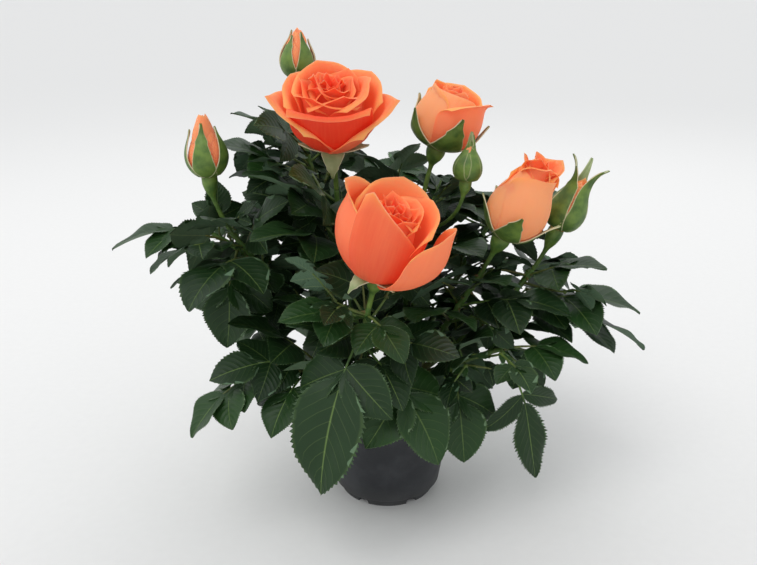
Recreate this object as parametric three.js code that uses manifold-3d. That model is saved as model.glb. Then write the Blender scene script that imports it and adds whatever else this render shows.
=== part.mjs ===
// Potted rose bush: a small round nursery pot filled with potting mix, four
// woody stems, thirteen canes, a leaf mass on each cane, and eight blooms and
// buds. Millimetres, +Z up, origin at the middle of the pot's underside, and
// the front of the bush faces -Y.
import * as THREE from 'three';
import { mergeVertices } from 'three/addons/utils/BufferGeometryUtils.js';
import Module from 'manifold-3d';

const wasm = await Module();
wasm.setup();

// ---- driving sizes -------------------------------------------------------------

const GAP = 0.3; // between pieces that meet

const POT = {
  height: 66,
  rimRadius: 45,
  shoulderRadius: 42.4, // wall just under the rim band
  shoulderHeight: 57,
  heelRadius: 34.3, // wall just above the foot
  heelHeight: 5.6,
  footRadius: 30.5,
  footWidth: 2.3,
  padRadius: 9, // flat pad in the middle of the underside
  floorUnder: 3.2,
  floorTop: 4.8,
  wall: 1.3,
  notches: 6,
  sides: 28,
};

const MIX = { top: 56, flatRadius: 23 };

const GIRTH = { foot: 2.35, tip: 1.3 }; // radius of a cane at its fork and its bloom
const STUB = 0.12; // share of each cane that is part of the woody stem
const CROWN = { left: -172, right: 178, front: -124, back: 124, low: 24, top: 262 };

const LEAFLET = { widthShare: 0.74, fold: 0.2, curve: 0.45, thickShare: 0.03 };

// ---- small tools ---------------------------------------------------------------

const RAD = Math.PI / 180;

function vec(x, y, z) {
  return new THREE.Vector3(x, y, z);
}

// Unit vector from a bearing round the plant and a rise above level
function heading(bearing, rise) {
  const level = Math.cos(rise * RAD);
  return vec(Math.cos(bearing * RAD) * level, Math.sin(bearing * RAD) * level, Math.sin(rise * RAD));
}

function mix(a, b, t) {
  return a + (b - a) * t;
}

// A repeatable number from 0 to 1 for each seed
function chance(seed) {
  let h = Math.imul(seed ^ 0x9e3779b9, 0x85ebca6b) >>> 0;
  h = Math.imul(h ^ (h >>> 13), 0xc2b2ae35) >>> 0;
  return ((h ^ (h >>> 16)) >>> 0) / 4294967296;
}

// Moves every corner of a geometry to the place that a rule gives for it
function shaped(geometry, rule) {
  const places = geometry.attributes.position;
  for (let i = 0; i < places.count; i += 1) {
    const p = rule(places.getX(i), places.getY(i), places.getZ(i));
    places.setXYZ(i, p.x, p.y, p.z);
  }
  return geometry;
}

// Shared corners only, no flat slivers, faces turned outward
function welded(geometry) {
  const plain = geometry.clone();
  plain.deleteAttribute('normal');
  plain.deleteAttribute('uv');
  const whole = mergeVertices(plain, 1e-3);
  const places = whole.attributes.position;
  const corners = [];
  let volume = 0;
  const a = vec(0, 0, 0);
  const b = vec(0, 0, 0);
  const c = vec(0, 0, 0);
  for (let i = 0; i < whole.index.count; i += 3) {
    const [p, q, r] = [whole.index.getX(i), whole.index.getX(i + 1), whole.index.getX(i + 2)];
    if (p !== q && q !== r && r !== p) {
      corners.push(p, q, r);
      a.fromBufferAttribute(places, p);
      b.fromBufferAttribute(places, q);
      c.fromBufferAttribute(places, r);
      volume += a.dot(b.cross(c));
    }
  }
  if (volume < 0) {
    corners.reverse();
  }
  return { places: Float32Array.from(places.array), corners: Uint32Array.from(corners) };
}

function solid(geometry) {
  const { places, corners } = welded(geometry);
  return new wasm.Manifold(new wasm.Mesh({ numProp: 3, vertProperties: places, triVerts: corners }));
}

// The body with its corners moved to the nearest step in mm, or null where that would
// open it or pinch it
function snapped(body, step) {
  const { vertProperties, triVerts } = body.getMesh();
  const numbers = new Map();
  const places = [];
  const corner = (i) => {
    const cell = [0, 1, 2].map((k) => Math.round(vertProperties[i * 3 + k] / step));
    const key = cell.join();
    if (!numbers.has(key)) {
      numbers.set(key, places.length / 3);
      places.push(...cell.map((n) => n * step));
    }
    return numbers.get(key);
  };
  const corners = [];
  const edges = new Set();
  for (let i = 0; i < triVerts.length; i += 3) {
    const face = [corner(triVerts[i]), corner(triVerts[i + 1]), corner(triVerts[i + 2])];
    if (new Set(face).size === 3) {
      corners.push(...face);
      for (let k = 0; k < 3; k += 1) {
        const edge = `${face[k]};${face[(k + 1) % 3]}`;
        if (edges.has(edge)) {
          return null;
        }
        edges.add(edge);
      }
    }
  }
  const paired = [...edges].every((edge) => edges.has(edge.split(';').reverse().join(';')));
  if (!paired) {
    return null;
  }
  return new wasm.Manifold(
    new wasm.Mesh({
      numProp: 3,
      vertProperties: Float32Array.from(places),
      triVerts: Uint32Array.from(corners),
    }),
  );
}

// One closed body from many that run into each other, without splinters
function fused(solids, splinter) {
  const whole = wasm.Manifold.union(solids);
  for (let k = 0; k < 12; k += 1) {
    const bodies = whole.simplify(splinter * Math.pow(0.6, k)).decompose();
    bodies.sort((a, b) => b.volume() - a.volume());
    const body = snapped(bodies[0], 0.002 + 0.0006 * k);
    const nothingLost = bodies.slice(1).every((loose) => loose.volume() < 1);
    if (body && nothingLost && body.decompose().length === 1) {
      return body;
    }
  }
  throw new Error('a body could not be closed');
}

function meshOf(name, body, finish) {
  const { vertProperties, triVerts } = body.getMesh();
  const geometry = new THREE.BufferGeometry();
  geometry.setAttribute('position', new THREE.BufferAttribute(vertProperties, 3));
  geometry.setIndex(new THREE.BufferAttribute(triVerts, 1));
  geometry.computeVertexNormals();
  const mesh = new THREE.Mesh(geometry, new THREE.MeshStandardMaterial(finish));
  mesh.name = name;
  return mesh;
}

// ---- limbs ---------------------------------------------------------------------

// Tapering limb along a curve between two shares of it, with flat ends
function limb(curve, from, to, radius, sides, rings) {
  const chord = curve.getPoint(to).sub(curve.getPoint(from));
  const lean = [Math.abs(chord.x), Math.abs(chord.y), Math.abs(chord.z)];
  const least = lean.indexOf(Math.min(...lean));
  const level = vec(least === 0 ? 1 : 0, least === 1 ? 1 : 0, least === 2 ? 1 : 0);
  return shaped(new THREE.CylinderGeometry(1, 1, 1, sides, rings), (x, y, z) => {
    const t = mix(from, to, y + 0.5);
    const along = curve.getTangent(t);
    const side = along.clone().cross(level).normalize();
    const face = side.clone().cross(along);
    const r = radius(t);
    return curve.getPoint(t).addScaledVector(side, x * r).addScaledVector(face, z * r);
  });
}

// Share of a curve that a length in millimetres takes up at t
function shareOf(curve, t, length) {
  const low = Math.max(0, t - 0.002);
  const high = Math.min(1, t + 0.002);
  return (length * (high - low)) / curve.getPoint(high).distanceTo(curve.getPoint(low));
}

// ---- leaves --------------------------------------------------------------------

// Half width of a leaflet, as a share of its widest, from root (0) to tip (1)
function outline(t) {
  return Math.pow(Math.max(0, Math.sin(Math.PI * Math.pow(t, 0.78))), 0.85);
}

// Place on a leaflet: t along the midrib, s across from -1 to 1, lift off its face
function onLeaflet(leaf, t, s, lift) {
  const bend = Math.max(0.02, leaf.curve);
  const half = 0.5 * leaf.width * outline(t);
  const turned = bend * t;
  const face = leaf.face.clone().multiplyScalar(Math.cos(turned));
  face.addScaledVector(leaf.along, Math.sin(turned));
  const across = leaf.face.clone().cross(leaf.along);
  return leaf.root
    .clone()
    .addScaledVector(leaf.along, (leaf.length * Math.sin(turned)) / bend)
    .addScaledVector(leaf.face, (-leaf.length * (1 - Math.cos(turned))) / bend)
    .addScaledVector(across, half * s * Math.cos(leaf.fold))
    .addScaledVector(face, half * Math.abs(s) * Math.sin(leaf.fold) + lift);
}

// Leaflet with a pointed oval outline, folded along its midrib
function leafletShape(leaf, rim, thick) {
  return shaped(new THREE.SphereGeometry(1, rim, 2), (x, y, z) => {
    if (Math.abs(y) > 0.5) {
      return onLeaflet(leaf, 0.44, 0, Math.sign(y) * 0.5 * thick);
    }
    const side = Math.abs(z) < 1e-6 ? 0 : Math.sign(z);
    return onLeaflet(leaf, rim === 4 && side !== 0 ? 0.44 : (1 + x) / 2, side, 0);
  });
}

const PAIRS = { 3: [0.86], 5: [0.5, 0.84], 7: [0.36, 0.6, 0.86] };

// Stalk and leaflets of one compound leaf, growing from a place on a stem
function compoundLeaf(place, row) {
  const stalkLength = Math.max(8, row.reach - row.size * 0.95);
  const start = heading(row.bearing, row.rise + row.bend * 0.5);
  const end = heading(row.bearing, row.rise - row.bend * 0.25);
  const middle = place.clone().addScaledVector(start, stalkLength * 0.5);
  const tip = middle.clone().addScaledVector(end, stalkLength * 0.5);
  const stalk = new THREE.QuadraticBezierCurve3(place.clone(), middle, tip);
  const leaflets = [];
  const add = (t, size, angle, side, tilt) => {
    const along = stalk.getTangent(t);
    const level = heading(row.bearing - 90, 0);
    const up = level.clone().cross(along).normalize();
    const across = level.clone().applyAxisAngle(along, row.roll * RAD);
    up.applyAxisAngle(along, row.roll * RAD);
    const out = along.clone().multiplyScalar(Math.cos(angle * RAD));
    out.addScaledVector(across, side * Math.sin(angle * RAD));
    const axis = out.clone().cross(up).normalize();
    out.applyAxisAngle(axis, tilt * RAD);
    const face = up.clone().applyAxisAngle(axis, tilt * RAD);
    const root = stalk.getPoint(t).addScaledVector(out, side === 0 ? -0.3 : 0.1);
    leaflets.push({
      root,
      along: out,
      face,
      length: size,
      width: size * LEAFLET.widthShare * row.slim,
      fold: LEAFLET.fold,
      curve: LEAFLET.curve,
    });
  };
  add(1, row.size, 0, 0, row.bend > 0 ? -4 : 0);
  PAIRS[row.leaflets].forEach((t, i, all) => {
    const size = row.size * row.sides * mix(0.74, 0.88, all.length < 2 ? 1 : i / (all.length - 1));
    add(t, size, 64, 1, -8);
    add(t - 0.025, size * 0.97, 60, -1, -8);
  });
  return { stalk, leaflets };
}

// ---- what stands where ---------------------------------------------------------

const standing = []; // faces and box of everything placed so far

function facesOf(geometry) {
  const { places, corners } = welded(geometry);
  const faces = [];
  const box = new THREE.Box3();
  for (let i = 0; i < corners.length; i += 3) {
    const face = [0, 1, 2].map((k) => vec(0, 0, 0).fromArray(places, corners[i + k] * 3));
    const faceBox = new THREE.Box3().setFromPoints(face);
    faces.push({ face, box: faceBox });
    box.union(faceBox);
  }
  return { faces, box };
}

// Whether the edge from p to q passes through a face
function pierces(p, q, [a, b, c]) {
  const run = q.clone().sub(p);
  const ab = b.clone().sub(a);
  const ac = c.clone().sub(a);
  const normal = run.clone().cross(ac);
  const det = ab.dot(normal);
  if (Math.abs(det) < 1e-9) {
    return false;
  }
  const from = p.clone().sub(a);
  const u = from.dot(normal) / det;
  if (u < 0 || u > 1) {
    return false;
  }
  const turned = from.cross(ab);
  const v = run.dot(turned) / det;
  if (v < 0 || u + v > 1) {
    return false;
  }
  const t = ac.dot(turned) / det;
  return t >= 0 && t <= 1;
}

function cross(one, other) {
  if (!one.box.intersectsBox(other.box)) {
    return false;
  }
  for (const m of one.faces) {
    if (m.box.intersectsBox(other.box)) {
      for (const n of other.faces) {
        if (m.box.intersectsBox(n.box)) {
          for (let k = 0; k < 3; k += 1) {
            const next = (k + 1) % 3;
            if (pierces(m.face[k], m.face[next], n.face) || pierces(n.face[k], n.face[next], m.face)) {
              return true;
            }
          }
        }
      }
    }
  }
  return false;
}

// ---- pot and potting mix -------------------------------------------------------

function turned(profile, sides) {
  return shaped(new THREE.LatheGeometry(profile.map(([r, z]) => new THREE.Vector2(r, z)), sides), (x, y, z) =>
    vec(x, -z, y),
  );
}

function potWallRadius(z) {
  const share = (z - POT.heelHeight) / (POT.shoulderHeight - POT.heelHeight);
  return mix(POT.heelRadius, POT.shoulderRadius, share);
}

function potBody() {
  const inner = (z) => potWallRadius(z) - POT.wall;
  let body = solid(
    turned(
      [
        [0, 0],
        [POT.padRadius, 0],
        [POT.padRadius, POT.floorUnder],
        [POT.footRadius - POT.footWidth, POT.floorUnder],
        [POT.footRadius - POT.footWidth, 0],
        [POT.footRadius, 0],
        [POT.footRadius + 0.4, POT.heelHeight - 1],
        [POT.heelRadius, POT.heelHeight],
        [POT.shoulderRadius, POT.shoulderHeight],
        [POT.rimRadius - 1, POT.shoulderHeight + 1],
        [POT.rimRadius, POT.height - 0.8],
        [POT.rimRadius - 0.8, POT.height],
        [POT.rimRadius - 2.2, POT.height],
        [inner(POT.shoulderHeight), POT.shoulderHeight + 1.5],
        [inner(POT.heelHeight + 1), POT.heelHeight + 1],
        [0, POT.floorTop],
      ],
      POT.sides,
    ),
  );
  for (let i = 0; i < POT.notches; i += 1) {
    const bearing = (i * 360) / POT.notches;
    const notch = new THREE.BoxGeometry(POT.footWidth + 4, 7, 5);
    notch.translate(POT.footRadius - POT.footWidth / 2, 0, 0);
    notch.rotateZ(bearing * RAD);
    body = body.subtract(solid(notch));
    const hole = new THREE.CylinderGeometry(2.6, 2.6, 8, 6);
    hole.rotateX(Math.PI / 2);
    hole.translate(20, 0, POT.floorTop);
    hole.rotateZ((bearing + 30) * RAD);
    body = body.subtract(solid(hole));
  }
  return body;
}

function mixBody() {
  const edge = (z) => (potWallRadius(z) - POT.wall - GAP) * Math.cos(Math.PI / POT.sides) - 0.3;
  const low = POT.heelHeight + 1 + GAP + 0.1;
  const profile = [
    [0, POT.floorTop + GAP + 0.1],
    [edge(low) - 0.4, low],
    [edge(MIX.top - 1), MIX.top - 1],
    [38, MIX.top + 0.5],
    [31, MIX.top - 0.5],
    [MIX.flatRadius, MIX.top],
    [0, MIX.top],
  ];
  const body = turned(profile, POT.sides - 4);
  return solid(
    shaped(body, (x, y, z) => {
      const r = Math.hypot(x, y);
      const rough = z > MIX.top - 2 && r > MIX.flatRadius + 2 && r < 39;
      const bearing = Math.atan2(y, x);
      const lump = rough ? 0.5 * Math.sin(bearing * 7 + r) + 0.4 * Math.sin(bearing * 11 - r) : 0;
      return vec(x, y, z + lump);
    }),
  );
}

// ---- stems, canes and shoots ---------------------------------------------------

// Each woody stem: its foot on the potting mix and its fork
const STEMS = {
  front: { foot: [-9, -14], fork: [-11, -20, 80] },
  left: { foot: [-14, 8], fork: [-18, 11, 84] },
  back: { foot: [11, 13], fork: [15, 16, 82] },
  right: { foot: [10, -9], fork: [15, -12, 82] },
};

// Each shoot: the stem it forks from, its bearing and rise there, where it ends,
// its direction at the end, and the share of it where the leaves stop
const SHOOTS = {
  front: { stem: 'front', from: [255, 52], end: [-8, -70, 164], axis: [0.22, -0.2, 0.95], leafEnd: 0.86 },
  open: { stem: 'front', from: [150, 75], end: [-30, -20, 222], axis: [0, -0.3, 0.95], leafEnd: 0.86 },
  'low-left': { stem: 'front', from: [195, 45], end: [-72, -45, 104], axis: [-0.7, -0.4, 0.3], leafEnd: 1 },
  top: { stem: 'left', from: [100, 80], end: [-53, 20, 256], axis: [0, 0, 1], leafEnd: 0.8 },
  left: { stem: 'left', from: [190, 60], end: [-103, -5, 199], axis: [-0.24, 0, 0.97], leafEnd: 0.84 },
  'far-left': { stem: 'left', from: [158, 30], end: [-112, 8, 172], axis: [-0.8, 0, 0.4], leafEnd: 1 },
  'back-left': { stem: 'left', from: [125, 55], end: [-62, 62, 172], axis: [-0.4, 0.4, 0.8], leafEnd: 1 },
  rear: { stem: 'back', from: [60, 80], end: [27, 15, 214], axis: [0.28, -0.05, 0.95], leafEnd: 0.8 },
  back: { stem: 'back', from: [95, 60], end: [5, 72, 185], axis: [0, 0.4, 0.9], leafEnd: 1 },
  'back-right': { stem: 'back', from: [40, 50], end: [72, 58, 168], axis: [0.5, 0.4, 0.75], leafEnd: 1 },
  right: { stem: 'right', from: [10, 60], end: [63, -15, 168], axis: [0.45, 0, 0.89], leafEnd: 0.84 },
  'far-right': { stem: 'right', from: [0, 40], end: [98, 5, 164], axis: [0.4, 0, 0.92], leafEnd: 0.84 },
  'low-right': { stem: 'right', from: [-48, 30], end: [68, -34, 112], axis: [0.7, -0.4, 0.4], leafEnd: 1 },
};
const LEAF_START = 0.28; // share of a shoot where its leaf mass takes over from the cane

function shootCurve({ stem, from, end, axis }) {
  const start = vec(...STEMS[stem].fork);
  const finish = vec(...end);
  const pull = 0.35 * start.distanceTo(finish);
  const leave = start.clone().addScaledVector(heading(...from), pull);
  const arrive = finish.clone().addScaledVector(vec(...axis).normalize(), -pull);
  return new THREE.CubicBezierCurve3(start, leave, arrive, finish);
}

function girth(t) {
  return mix(GIRTH.foot, GIRTH.tip, t);
}

const curves = {};
for (const [name, shoot] of Object.entries(SHOOTS)) {
  curves[name] = shootCurve(shoot);
}

function stemBody(name) {
  const { foot, fork } = STEMS[name];
  const base = vec(foot[0], foot[1], MIX.top + GAP);
  const top = vec(...fork);
  const rise = vec(foot[0] * 1.05, foot[1] * 1.05, mix(base.z, top.z, 0.5));
  const trunk = new THREE.QuadraticBezierCurve3(base, rise, top);
  const radius = (t) => 2.9 + 1.5 * Math.exp(-7 * t);
  const standingFoot = shaped(limb(trunk, 0, 1, radius, 6, 3), (x, y, z) => vec(x, y, Math.max(z, base.z)));
  const parts = [solid(standingFoot)];
  for (const [shootName, shoot] of Object.entries(SHOOTS)) {
    if (shoot.stem === name) {
      parts.push(solid(limb(curves[shootName], 0, STUB, (t) => girth(t) + 0.15, 5, 1)));
    }
  }
  const knuckle = new THREE.SphereGeometry(3.3, 6, 4);
  knuckle.translate(...fork);
  parts.push(solid(knuckle));
  return fused(parts, 0.05);
}

// ---- blooms and buds -----------------------------------------------------------

// Sideways and upright directions of a flower that faces along an axis
function flowerFrame(origin, axis, turn) {
  const up = vec(...axis).normalize();
  const side = vec(1, 0, 0).addScaledVector(up, -up.x).normalize();
  side.applyAxisAngle(up, turn * RAD);
  return { origin, up, side, face: side.clone().cross(up) };
}

// Place on a petal: u across from -1 to 1, v from its claw (0) to its rim (1)
function onPetal(frame, petal, u, v) {
  const reach = v * (1 - petal.round * u * u) * (1 + petal.point * Math.pow(1 - Math.abs(u), 3) * v);
  const rest = 1 - reach;
  const b = [rest * rest * rest, 3 * rest * rest * reach, 3 * rest * reach * reach, reach * reach * reach];
  let r = b[0] * 2.5 + b[1] * petal.belly + b[2] * petal.waist + b[3] * petal.mouth;
  const z = b[1] * petal.height * 0.1 + b[2] * petal.height * 0.62 + b[3] * petal.height;
  const broad = 0.3 + 0.7 * Math.sin(0.5 * Math.PI * Math.min(1, reach / 0.62));
  const half = 0.5 * petal.width * broad;
  const rim = Math.max(0, (reach - 0.7) / 0.3);
  const curl = petal.roll * (rim * rim + 0.5 * Math.pow(Math.abs(u), 3) * rim);
  const bow = Math.max(4, r) * petal.flat;
  const arc = (u * half) / bow;
  const out = r + curl - bow * (1 - Math.cos(arc));
  const aside = bow * Math.sin(arc);
  const drop = 0.35 * curl * Math.max(0, rim);
  const turn = petal.turn * RAD;
  const spoke = frame.side.clone().multiplyScalar(Math.cos(turn)).addScaledVector(frame.face, -Math.sin(turn));
  const across = frame.side.clone().multiplyScalar(Math.sin(turn)).addScaledVector(frame.face, Math.cos(turn));
  return frame.origin
    .clone()
    .addScaledVector(spoke, out)
    .addScaledVector(across, aside)
    .addScaledVector(frame.up, petal.rise + z - drop);
}

function petalShape(frame, petal, across, along) {
  const e = 0.01;
  return shaped(new THREE.BoxGeometry(2, 1, 1, across, along, 1), (x, y, w) => {
    const v = y + 0.5;
    const low = onPetal(frame, petal, x, Math.max(0, v - e));
    const high = onPetal(frame, petal, x, Math.min(1, v + e));
    const left = onPetal(frame, petal, Math.max(-1, x - e), v);
    const right = onPetal(frame, petal, Math.min(1, x + e), v);
    const normal = right.sub(left).cross(high.sub(low)).normalize();
    return onPetal(frame, petal, x, v).addScaledVector(normal, w * petal.thick);
  });
}

// Body of revolution along a flower's axis, from radius and height pairs
function flowerBody(frame, profile, sides) {
  const points = profile.map(([r, z]) => new THREE.Vector2(r, z));
  return shaped(new THREE.LatheGeometry(points, sides), (x, y, z) =>
    frame.origin
      .clone()
      .addScaledVector(frame.side, x)
      .addScaledVector(frame.up, y)
      .addScaledVector(frame.face, z),
  );
}

// Closed inner petals, as shares of the heart's radius and height: a pointed egg in a
// bud, a cup with a raised middle in an open bloom, an urn in a half-open one
const HEARTS = {
  egg: [[0, 0], [0.7, 0.2], [1, 0.43], [0.9, 0.66], [0.5, 0.88], [0, 1]],
  cup: [[0, 0], [0.62, 0.2], [0.87, 0.5], [0.97, 1], [0.55, 0.88], [0, 0.95]],
  urn: [[0, 0], [0.68, 0.14], [1, 0.4], [0.97, 0.66], [0.8, 0.86], [0.84, 1], [0.4, 0.9], [0, 0.96]],
};

const RING = { round: 0.2, point: 0, roll: 0, flat: 1.15, rise: 6, thick: 1.7, turn: 0 };

// Each bloom: the way it faces, its hip, its rings of petals, its heart and its sepals
const BLOOMS = {
  front: {
    axis: [0.24, -0.2, 0.95],
    hip: [4.6, 9],
    kind: 'cup',
    rings: [
      { petals: 5, belly: 17, waist: 22, mouth: 24, height: 42, width: 34, roll: 5, turn: 262, flat: 1.2, point: 0.05 },
    ],
    heart: [16.5, 46],
    sepals: { length: 22, rise: -28 },
  },
  open: {
    axis: [0, -0.38, 0.92],
    hip: [4.8, 9],
    kind: 'cup',
    rings: [
      { petals: 5, belly: 19, waist: 25, mouth: 27, height: 38, width: 37, roll: 6, turn: 270, flat: 1.2, point: 0.07 },
    ],
    heart: [18.5, 42],
    sepals: { length: 24, rise: -42 },
  },
  top: { axis: [0.03, 0, 1], hip: [3.4, 6], kind: 'egg', heart: [7.6, 26], sepals: { length: 27, rise: 58, hug: 8.5 } },
  left: { axis: [-0.05, 0, 1], hip: [4.2, 10], kind: 'egg', heart: [10, 35], sepals: { length: 36, rise: 58, hug: 10 } },
  rear: { axis: [0.3, -0.06, 0.95], hip: [4.2, 9], kind: 'urn', heart: [17, 39], sepals: { length: 27, rise: 28, hug: 9 } },
  small: { axis: [0.12, 0, 1], hip: [3, 6], kind: 'egg', heart: [6.4, 22], sepals: { length: 26, rise: 62, hug: 8 } },
  right: { axis: [0.42, -0.1, 0.9], hip: [4.4, 9], kind: 'urn', heart: [15.5, 46], sepals: { length: 30, rise: 26, hug: 9 } },
  'far-right': {
    axis: [0.4, 0, 0.92],
    hip: [4.4, 11],
    kind: 'egg',
    heart: [9.4, 33],
    sepals: { length: 42, rise: 62, hug: 10 },
  },
};

// The small bud's own stalk leaves the rear shoot partway up
const SIDE_STALK = { shoot: 'rear', at: 0.62, from: [-40, 32], end: [43, -16, 203], axis: [0.12, 0, 1], clear: 3 };

function sideStalk() {
  const start = curves[SIDE_STALK.shoot]
    .getPoint(SIDE_STALK.at)
    .addScaledVector(heading(...SIDE_STALK.from), SIDE_STALK.clear);
  const finish = vec(...SIDE_STALK.end);
  const pull = 0.35 * start.distanceTo(finish);
  const leave = start.clone().addScaledVector(heading(...SIDE_STALK.from), pull);
  const arrive = finish.clone().addScaledVector(vec(...SIDE_STALK.axis).normalize(), -pull);
  return new THREE.CubicBezierCurve3(start, leave, arrive, finish);
}

function bloomShapes(name) {
  const bloom = BLOOMS[name];
  const small = name === 'small';
  const curve = small ? sideStalk() : curves[name];
  const stalkFrom = small ? 0 : SHOOTS[name].leafEnd + shareOf(curve, SHOOTS[name].leafEnd, GAP);
  const radius = (t) => (small ? mix(1.15, 1.05, t) : girth(t));
  const shapes = [limb(curve, stalkFrom, 1, radius, 5, 2)];
  const [hipRadius, hipLength] = bloom.hip;
  const frame = flowerFrame(curve.getPoint(1), bloom.axis, 0);
  const hipProfile = [
    [0, -1.5],
    [radius(1), -1],
    [hipRadius, hipLength * 0.5],
    [hipRadius * 0.85, hipLength],
    [0, hipLength + 0.5],
  ];
  shapes.push(flowerBody(frame, hipProfile, 6));
  const [heartRadius, heartHeight] = bloom.heart;
  const heartFrom = hipLength - 3;
  const heartSides = heartRadius > 12 ? 9 : 6;
  const heart = HEARTS[bloom.kind].map(([r, h]) => [r * heartRadius, heartFrom + h * heartHeight]);
  shapes.push(flowerBody(frame, heart, heartSides));
  (bloom.rings || []).forEach((ring, index) => {
    for (let k = 0; k < ring.petals; k += 1) {
      const seed = index * 31 + k * 7 + name.length * 101;
      const turn = ring.turn + (k * 360) / ring.petals + 10 * (chance(seed) - 0.5);
      const height = ring.height * (0.95 + 0.1 * chance(seed + 3));
      shapes.push(petalShape(frame, { ...RING, ...ring, turn, height }, 3, 3));
    }
  });
  const { length, rise, hug } = bloom.sepals;
  for (let k = 0; k < 5; k += 1) {
    const turn = (k * 72 + 20) * RAD;
    const spoke = frame.side.clone().multiplyScalar(Math.cos(turn)).addScaledVector(frame.face, -Math.sin(turn));
    const along = spoke.clone().multiplyScalar(Math.cos(rise * RAD));
    along.addScaledVector(frame.up, Math.sin(rise * RAD));
    const face = frame.up.clone().multiplyScalar(-Math.cos(rise * RAD)).addScaledVector(spoke, Math.sin(rise * RAD));
    const root = frame.origin.clone().addScaledVector(frame.up, hipLength - 1).addScaledVector(spoke, hug ? 2.5 : 1);
    const inward = hug ? 1 : -1;
    face.multiplyScalar(inward);
    const width = hug || 6.5;
    shapes.push(leafletShape({ root, along, face, length, width, fold: -0.3 * inward, curve: hug ? 0.9 : 0.7 }, 4, 1.5));
  }
  return shapes;
}

// ---- leaf rows -----------------------------------------------------------------

// Leading leaves, the large ones that give each mass its outline. For each: where
// on the shoot, bearing, rise, reach from the stem to the leaf's tip, how far it
// bends down, roll, number of leaflets, length of the end leaflet, and where they
// differ from the common shape, the side leaflets' share and the slimness.
const LEADING = {
  front: [
    [0.7, 237, -47, 93, 26, 0, 3, 66, 0.66, 0.84],
    [0.42, -41, -31, 77, 40, 10, 3, 44],
    [0.52, 207, 66, 60, 8, 0, 3, 40],
    [0.36, 206, 15, 70, 24, 0, 3, 40],
    [0.8, -57, -9, 38, 16, 0, 3, 26],
    [0.78, 209, 10, 52, 16, 0, 3, 32],
    [0.52, -65, -4, 52, 20, 0, 3, 30],
  ],
  'low-right': [
    [0.97, -40, -62, 86, 24, 30, 3, 54, 0.7, 0.42],
    [0.88, -14, -36, 70, 40, 0, 3, 48, 0.7],
    [0.45, -85, -43, 74, 50, 0, 3, 40, 0.9],
    [0.36, -53, 44, 58, 16, 0, 3, 36],
    [0.99, -6, 4, 50, 20, 0, 3, 32],
  ],
  'far-left': [
    [0.99, 178, 0, 60, 10, 0, 5, 42, 0.85, 0.8],
    [0.82, 259, -50, 62, 30, 0, 5, 37],
    [0.66, 240, -12, 50, 30, 0, 3, 30],
  ],
  'low-left': [
    [0.97, 207, -24, 58, 30, 0, 5, 31],
    [0.6, 244, -16, 50, 36, 0, 3, 28],
    [0.45, 199, 44, 69, 16, 0, 3, 36],
  ],
  'far-right': [
    [0.46, 2, -13, 122, 36, 0, 5, 46, 1, 0.85],
    [0.6, -5, 7, 84, 16, 0, 5, 42],
    [0.8, -34, 27, 50, 8, 0, 3, 32],
  ],
  right: [
    [0.56, -19, 3, 72, 24, 0, 5, 34],
    [0.7, -69, 33, 44, 8, 0, 3, 29],
    [0.78, -26, 10, 42, 8, 0, 3, 27],
    [0.45, -120, 29, 70, 16, 0, 3, 40, 1, 0.8],
    [0.36, -78, 15, 62, 20, 0, 3, 36],
  ],
  rear: [
    [0.5, -61, 26, 74, 16, 0, 5, 35],
    [0.62, -30, 34, 72, 16, 0, 5, 34],
    [0.72, -149, 54, 64, 8, 0, 3, 36, 1, 0.7],
  ],
  left: [
    [0.56, 242, 24, 54, 26, 0, 3, 36],
    [0.8, 262, 40, 40, 16, 0, 3, 27],
  ],
  top: [
    [0.62, 202, 34, 82, 24, 0, 5, 37],
    [0.72, 211, 46, 62, 16, 0, 5, 31],
  ],
  open: [
    [0.68, 203, 44, 68, 8, 0, 5, 37],
    [0.6, 218, 27, 64, 20, 0, 3, 39],
    [0.82, 254, -8, 42, 16, 0, 3, 26],
  ],
};

const RULE = {
  spacing: 6.4, // along the stem from one leaf to the next
  turn: 144, // round the stem from one leaf to the next
  tries: 14,
};

// ---- growing the masses --------------------------------------------------------

const leafMassParts = {};
const blossomLight = []; // open space in front of each bloom that rule leaves keep out of

function stand(geometry, owner) {
  standing.push({ ...facesOf(geometry), owner });
}

function insideCrown(p) {
  const { left, right, front, back, low, top } = CROWN;
  return p.x > left && p.x < right && p.y > front && p.y < back && p.z > low && p.z < top;
}

function inLight(p) {
  return blossomLight.some(({ start, way, radius, length }) => {
    const from = p.clone().sub(start);
    const along = from.dot(way);
    return along > 0 && along < length && from.addScaledVector(way, -along).length() < radius;
  });
}

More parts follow.
